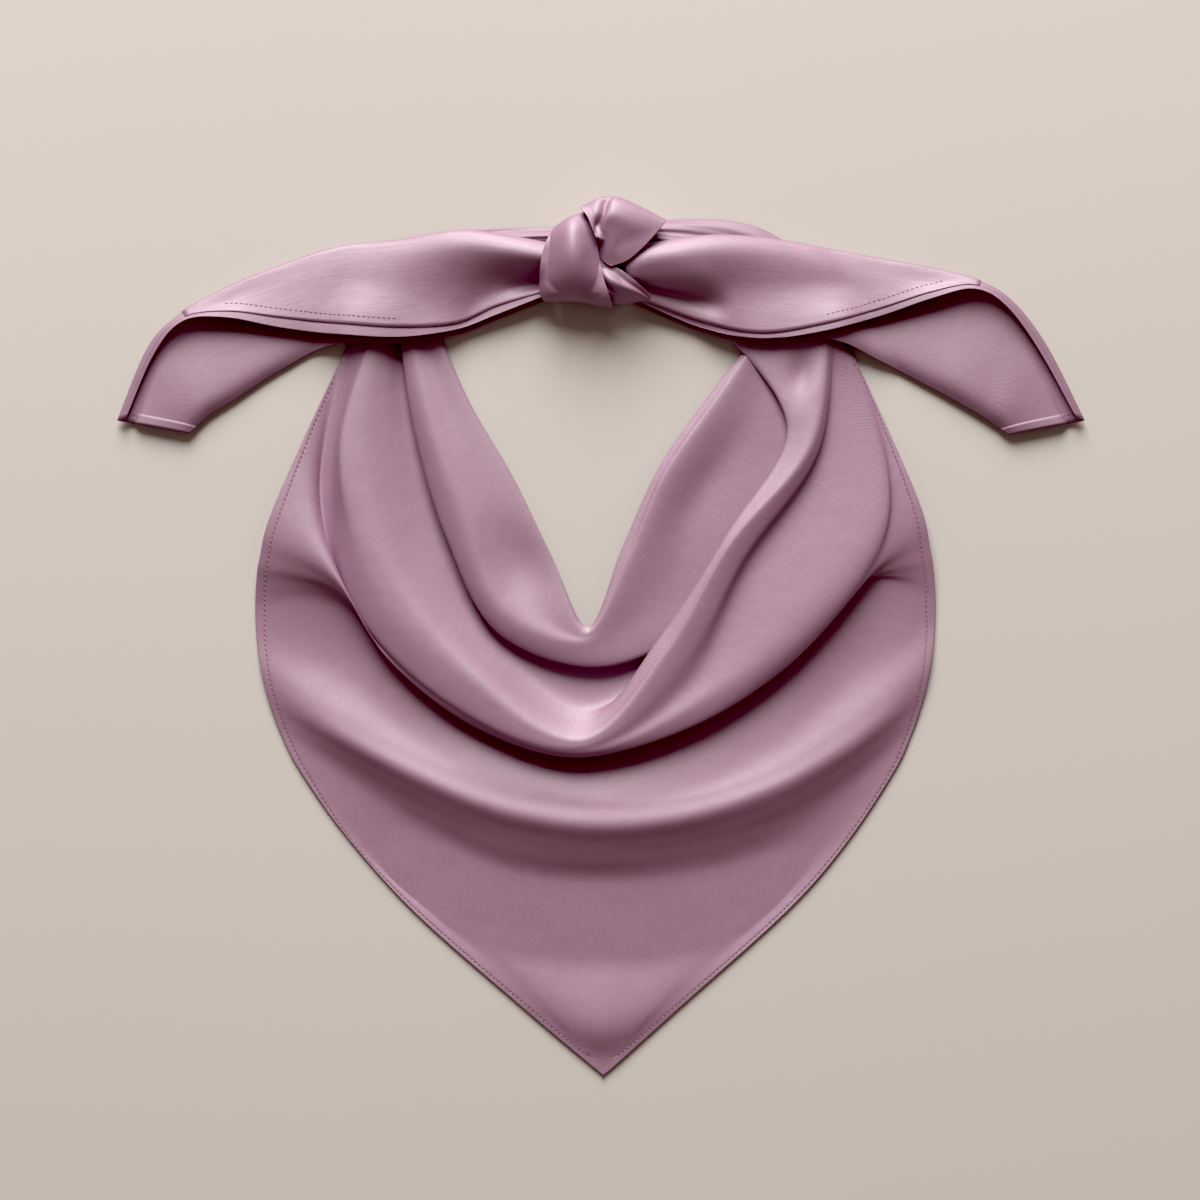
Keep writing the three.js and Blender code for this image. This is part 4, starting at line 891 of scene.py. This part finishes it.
# The front layer ends where it would cover less than this share of the flap
LEAST_FRONT = 0.2
END_ROWS = 16
END_HEM_LINES = np.linspace(0.05, 0.9, 5) * HEM_WIDTH
SEAM_STARTS, SEAM_STOPS = 3 * TAIL_ROWS, 6
FLAP_SEAM_COLUMN, END_SEAM_COLUMN = 3, 2
ground = ground_under(spread=6, soft=4)
front_columns = slice(round(FRONT_FROM * TAIL_COLUMNS), FLAP_END * TAIL_COLUMNS + 1)
back_columns = slice(UNDER_PLACE * TAIL_COLUMNS + 1)
tails = {}
for sign, side, sections in ((-1, "left", LEFT_TAIL), (1, "right", RIGHT_TAIL)):
    inner = creased(tail_grid(sections, sign, ground, TAIL_ROWS, TAIL_COLUMNS), TAIL_CREASES[side])
    normals = normals_of(inner)
    outward = np.sign(normals[len(inner) // 3, FLAP_MIDDLE * TAIL_COLUMNS, 2])
    front_share = through([[row.front] for row in sections], every(1 / TAIL_ROWS, len(sections) - 1))[:, 0]
    outer = (inner + outward * (CLOTH + GAP) * normals)[front_share > LEAST_FRONT][:, front_columns]
    above = inner - outward * (CLOTH / 2 + GAP + HEM_WALL / 2) * normals
    end_hem = strip(np.swapaxes(above[::-1][:END_ROWS, back_columns], 0, 1), END_HEM_LINES)
    inner_piece = dress(grid_object(f"tail_{side}_back", inner), BACK, "satin_back", f"tail_{side}_inner")
    outer_piece = dress(grid_object(f"tail_{side}_front", outer), FRONT, "satin", f"tail_{side}_outer")
    hem_piece = dress(grid_object(f"tail_{side}_hem", end_hem, HEM_WALL), BACK, "hem", f"hem_tail_{side}")
    seam_rows = slice(SEAM_STARTS, len(outer) - SEAM_STOPS)
    flap_edge = outer[seam_rows, ::-1]
    flap_ups = outward * normals_of(outer)[seam_rows, ::-1]
    end_lines = np.swapaxes(inner[::-1][:END_ROWS], 0, 1)
    end_ups = -outward * np.swapaxes(normals[::-1][:END_ROWS], 0, 1)
    seams = [
        (strip(flap_edge, [STITCH_DEPTH])[:, 0], flap_ups[:, FLAP_SEAM_COLUMN]),
        (strip(end_lines, [STITCH_DEPTH])[:, 0], end_ups[:, END_SEAM_COLUMN]),
    ]
    tail_stitches = dress(stitches(f"tail_{side}_stitches", seams, CLOTH / 2), THREADS, "hem")
    tails[side] = (inner_piece, outer_piece, hem_piece, tail_stitches)
    lay_down(inner)
    lay_down(outer)

# The knot, with creases as in the free ends

ROLL_CREASES = [(0.1, 0.35, 0.9, 0.45, 0.0003, 0.06), (0.3, 0.1, 0.35, 0.9, 0.0003, 0.08)]
WRAP_CREASES = [(0.30, 0.30, 0.24, 0.95, 0.0002, 0.10), (0.80, 0.40, 0.70, 0.95, 0.0003, 0.08)]
FAN_CREASES = [
    (0.05, 0.20, 0.50, 0.74, 0.0024, 0.050),
    (0.60, 0.20, 0.95, 0.50, 0.0003, 0.08),
]

CORE_RING, CORE_ROWS = 49, 33
CORE_OPEN = 0.06
CORE_FOLDS, CORE_FOLD_DEPTH = 9, 0.03
CORE_SQUARED, CORE_ROUNDED = 0.6, 4
CORE_SHARE = 0.98


def core_grid():
    """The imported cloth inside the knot: rings around a flattened ball, creased lengthwise."""
    left = -TAIL_ROOT["left"] * KNOT_WIDTH + GAP
    right = TAIL_ROOT["right"] * KNOT_WIDTH - GAP
    half = np.array([(right - left) / 2, CORE_SHAPE["half"] * KNOT_HEIGHT, CORE_SHAPE["top"] * KNOT_LOFT / 2])
    middle = np.array([KNOT_X + (left + right) / 2, KNOT_RISE + CORE_SHAPE["y"] * KNOT_HEIGHT, half[2]])
    ring = np.linspace(0, math.tau, CORE_RING)
    crease = 1 - CORE_FOLD_DEPTH + CORE_FOLD_DEPTH * np.cos(CORE_FOLDS * ring)
    rows = []
    for turn in np.linspace(CORE_OPEN, math.pi - CORE_OPEN, CORE_ROWS):
        x = np.full_like(ring, -math.cos(turn))
        y = math.sin(turn) * np.cos(ring) * crease
        z = math.sin(turn) * np.sin(ring) * crease
        point = np.stack([x, y, z], axis=1)
        squared = np.sign(point) * np.abs(point) ** CORE_SQUARED
        reach = np.maximum(1, (squared**CORE_ROUNDED).sum(axis=1) ** (1 / CORE_ROUNDED))
        rows.append(middle + squared / reach[:, None] * half * CORE_SHARE)
    return np.array(rows)


core = core_grid()
core_piece = dress(grid_object("knot_packing", core), BACK, "satin_back", "knot_core")
lay_down(core)
roll = creased(ribbed(ROLL_RIBS, free=[], along=8, across=32), ROLL_CREASES)
roll_piece = dress(grid_object("knot_under_roll", roll), FRONT, "satin", "knot_roll")
lay_down(roll)
wrap = creased(ribbed(WRAP_RIBS, free=[(0, 0.6), (6.6, 8)], along=10, across=56), WRAP_CREASES)
wrap_piece = dress(grid_object("knot_wrap_cloth", wrap), FRONT, "satin", "knot_wrap")
lay_down(wrap)
fan = creased(ribbed(FAN_RIBS, free=[(0, 1.3), (4.6, 6)], along=12, across=64), FAN_CREASES)
fan_piece = dress(grid_object("knot_fan_cloth", fan), FRONT, "satin", "knot_fan")

# Floor and light

FLOOR_HALF = 2
bm = bmesh.new()
bmesh.ops.create_grid(bm, x_segments=8, y_segments=8, size=FLOOR_HALF)
floor_mesh = bpy.data.meshes.new("floor")
bm.to_mesh(floor_mesh)
bm.free()
floor = bpy.data.objects.new("floor", floor_mesh)
floor.data.materials.append(floor_material())
bpy.context.scene.collection.objects.link(floor)


def softbox(name, azimuth, elevation, far, size, watts, colour):
    lamp = bpy.data.lights.new(name, "AREA")
    lamp.shape = "DISK"
    lamp.size = size
    lamp.energy = watts
    lamp.color = colour
    light = bpy.data.objects.new(name, lamp)
    turn, rise = math.radians(azimuth), math.radians(elevation)
    away = Vector((math.sin(turn) * math.cos(rise), math.cos(turn) * math.cos(rise), math.sin(rise)))
    light.location = away * far
    light.rotation_mode = "QUATERNION"
    light.rotation_quaternion = away.to_track_quat("Z", "Y")
    bpy.context.scene.collection.objects.link(light)


softbox("key", azimuth=-6, elevation=31, far=3.6, size=2.5, watts=230, colour=(0.99, 0.99, 0.985))
ROOM_TINT = (1, 0.85, 0.70, 1)
ROOM_LIGHT = 0.20
VIEW_BLACK = (0.028, 0.037, 0.030)
world = bpy.data.worlds.new("studio")
world.use_nodes = True
room = world.node_tree.nodes["Background"].inputs
room["Color"].default_value = ROOM_TINT
room["Strength"].default_value = ROOM_LIGHT
bpy.context.scene.world = world
view = bpy.context.scene.view_settings
view.view_transform = "Standard"
view.use_curve_mapping = True
view.curve_mapping.black_level = VIEW_BLACK

# The pieces of each free end

for side in SIDES:
    inner_piece, outer_piece, hem_piece, tail_stitches = tails[side]
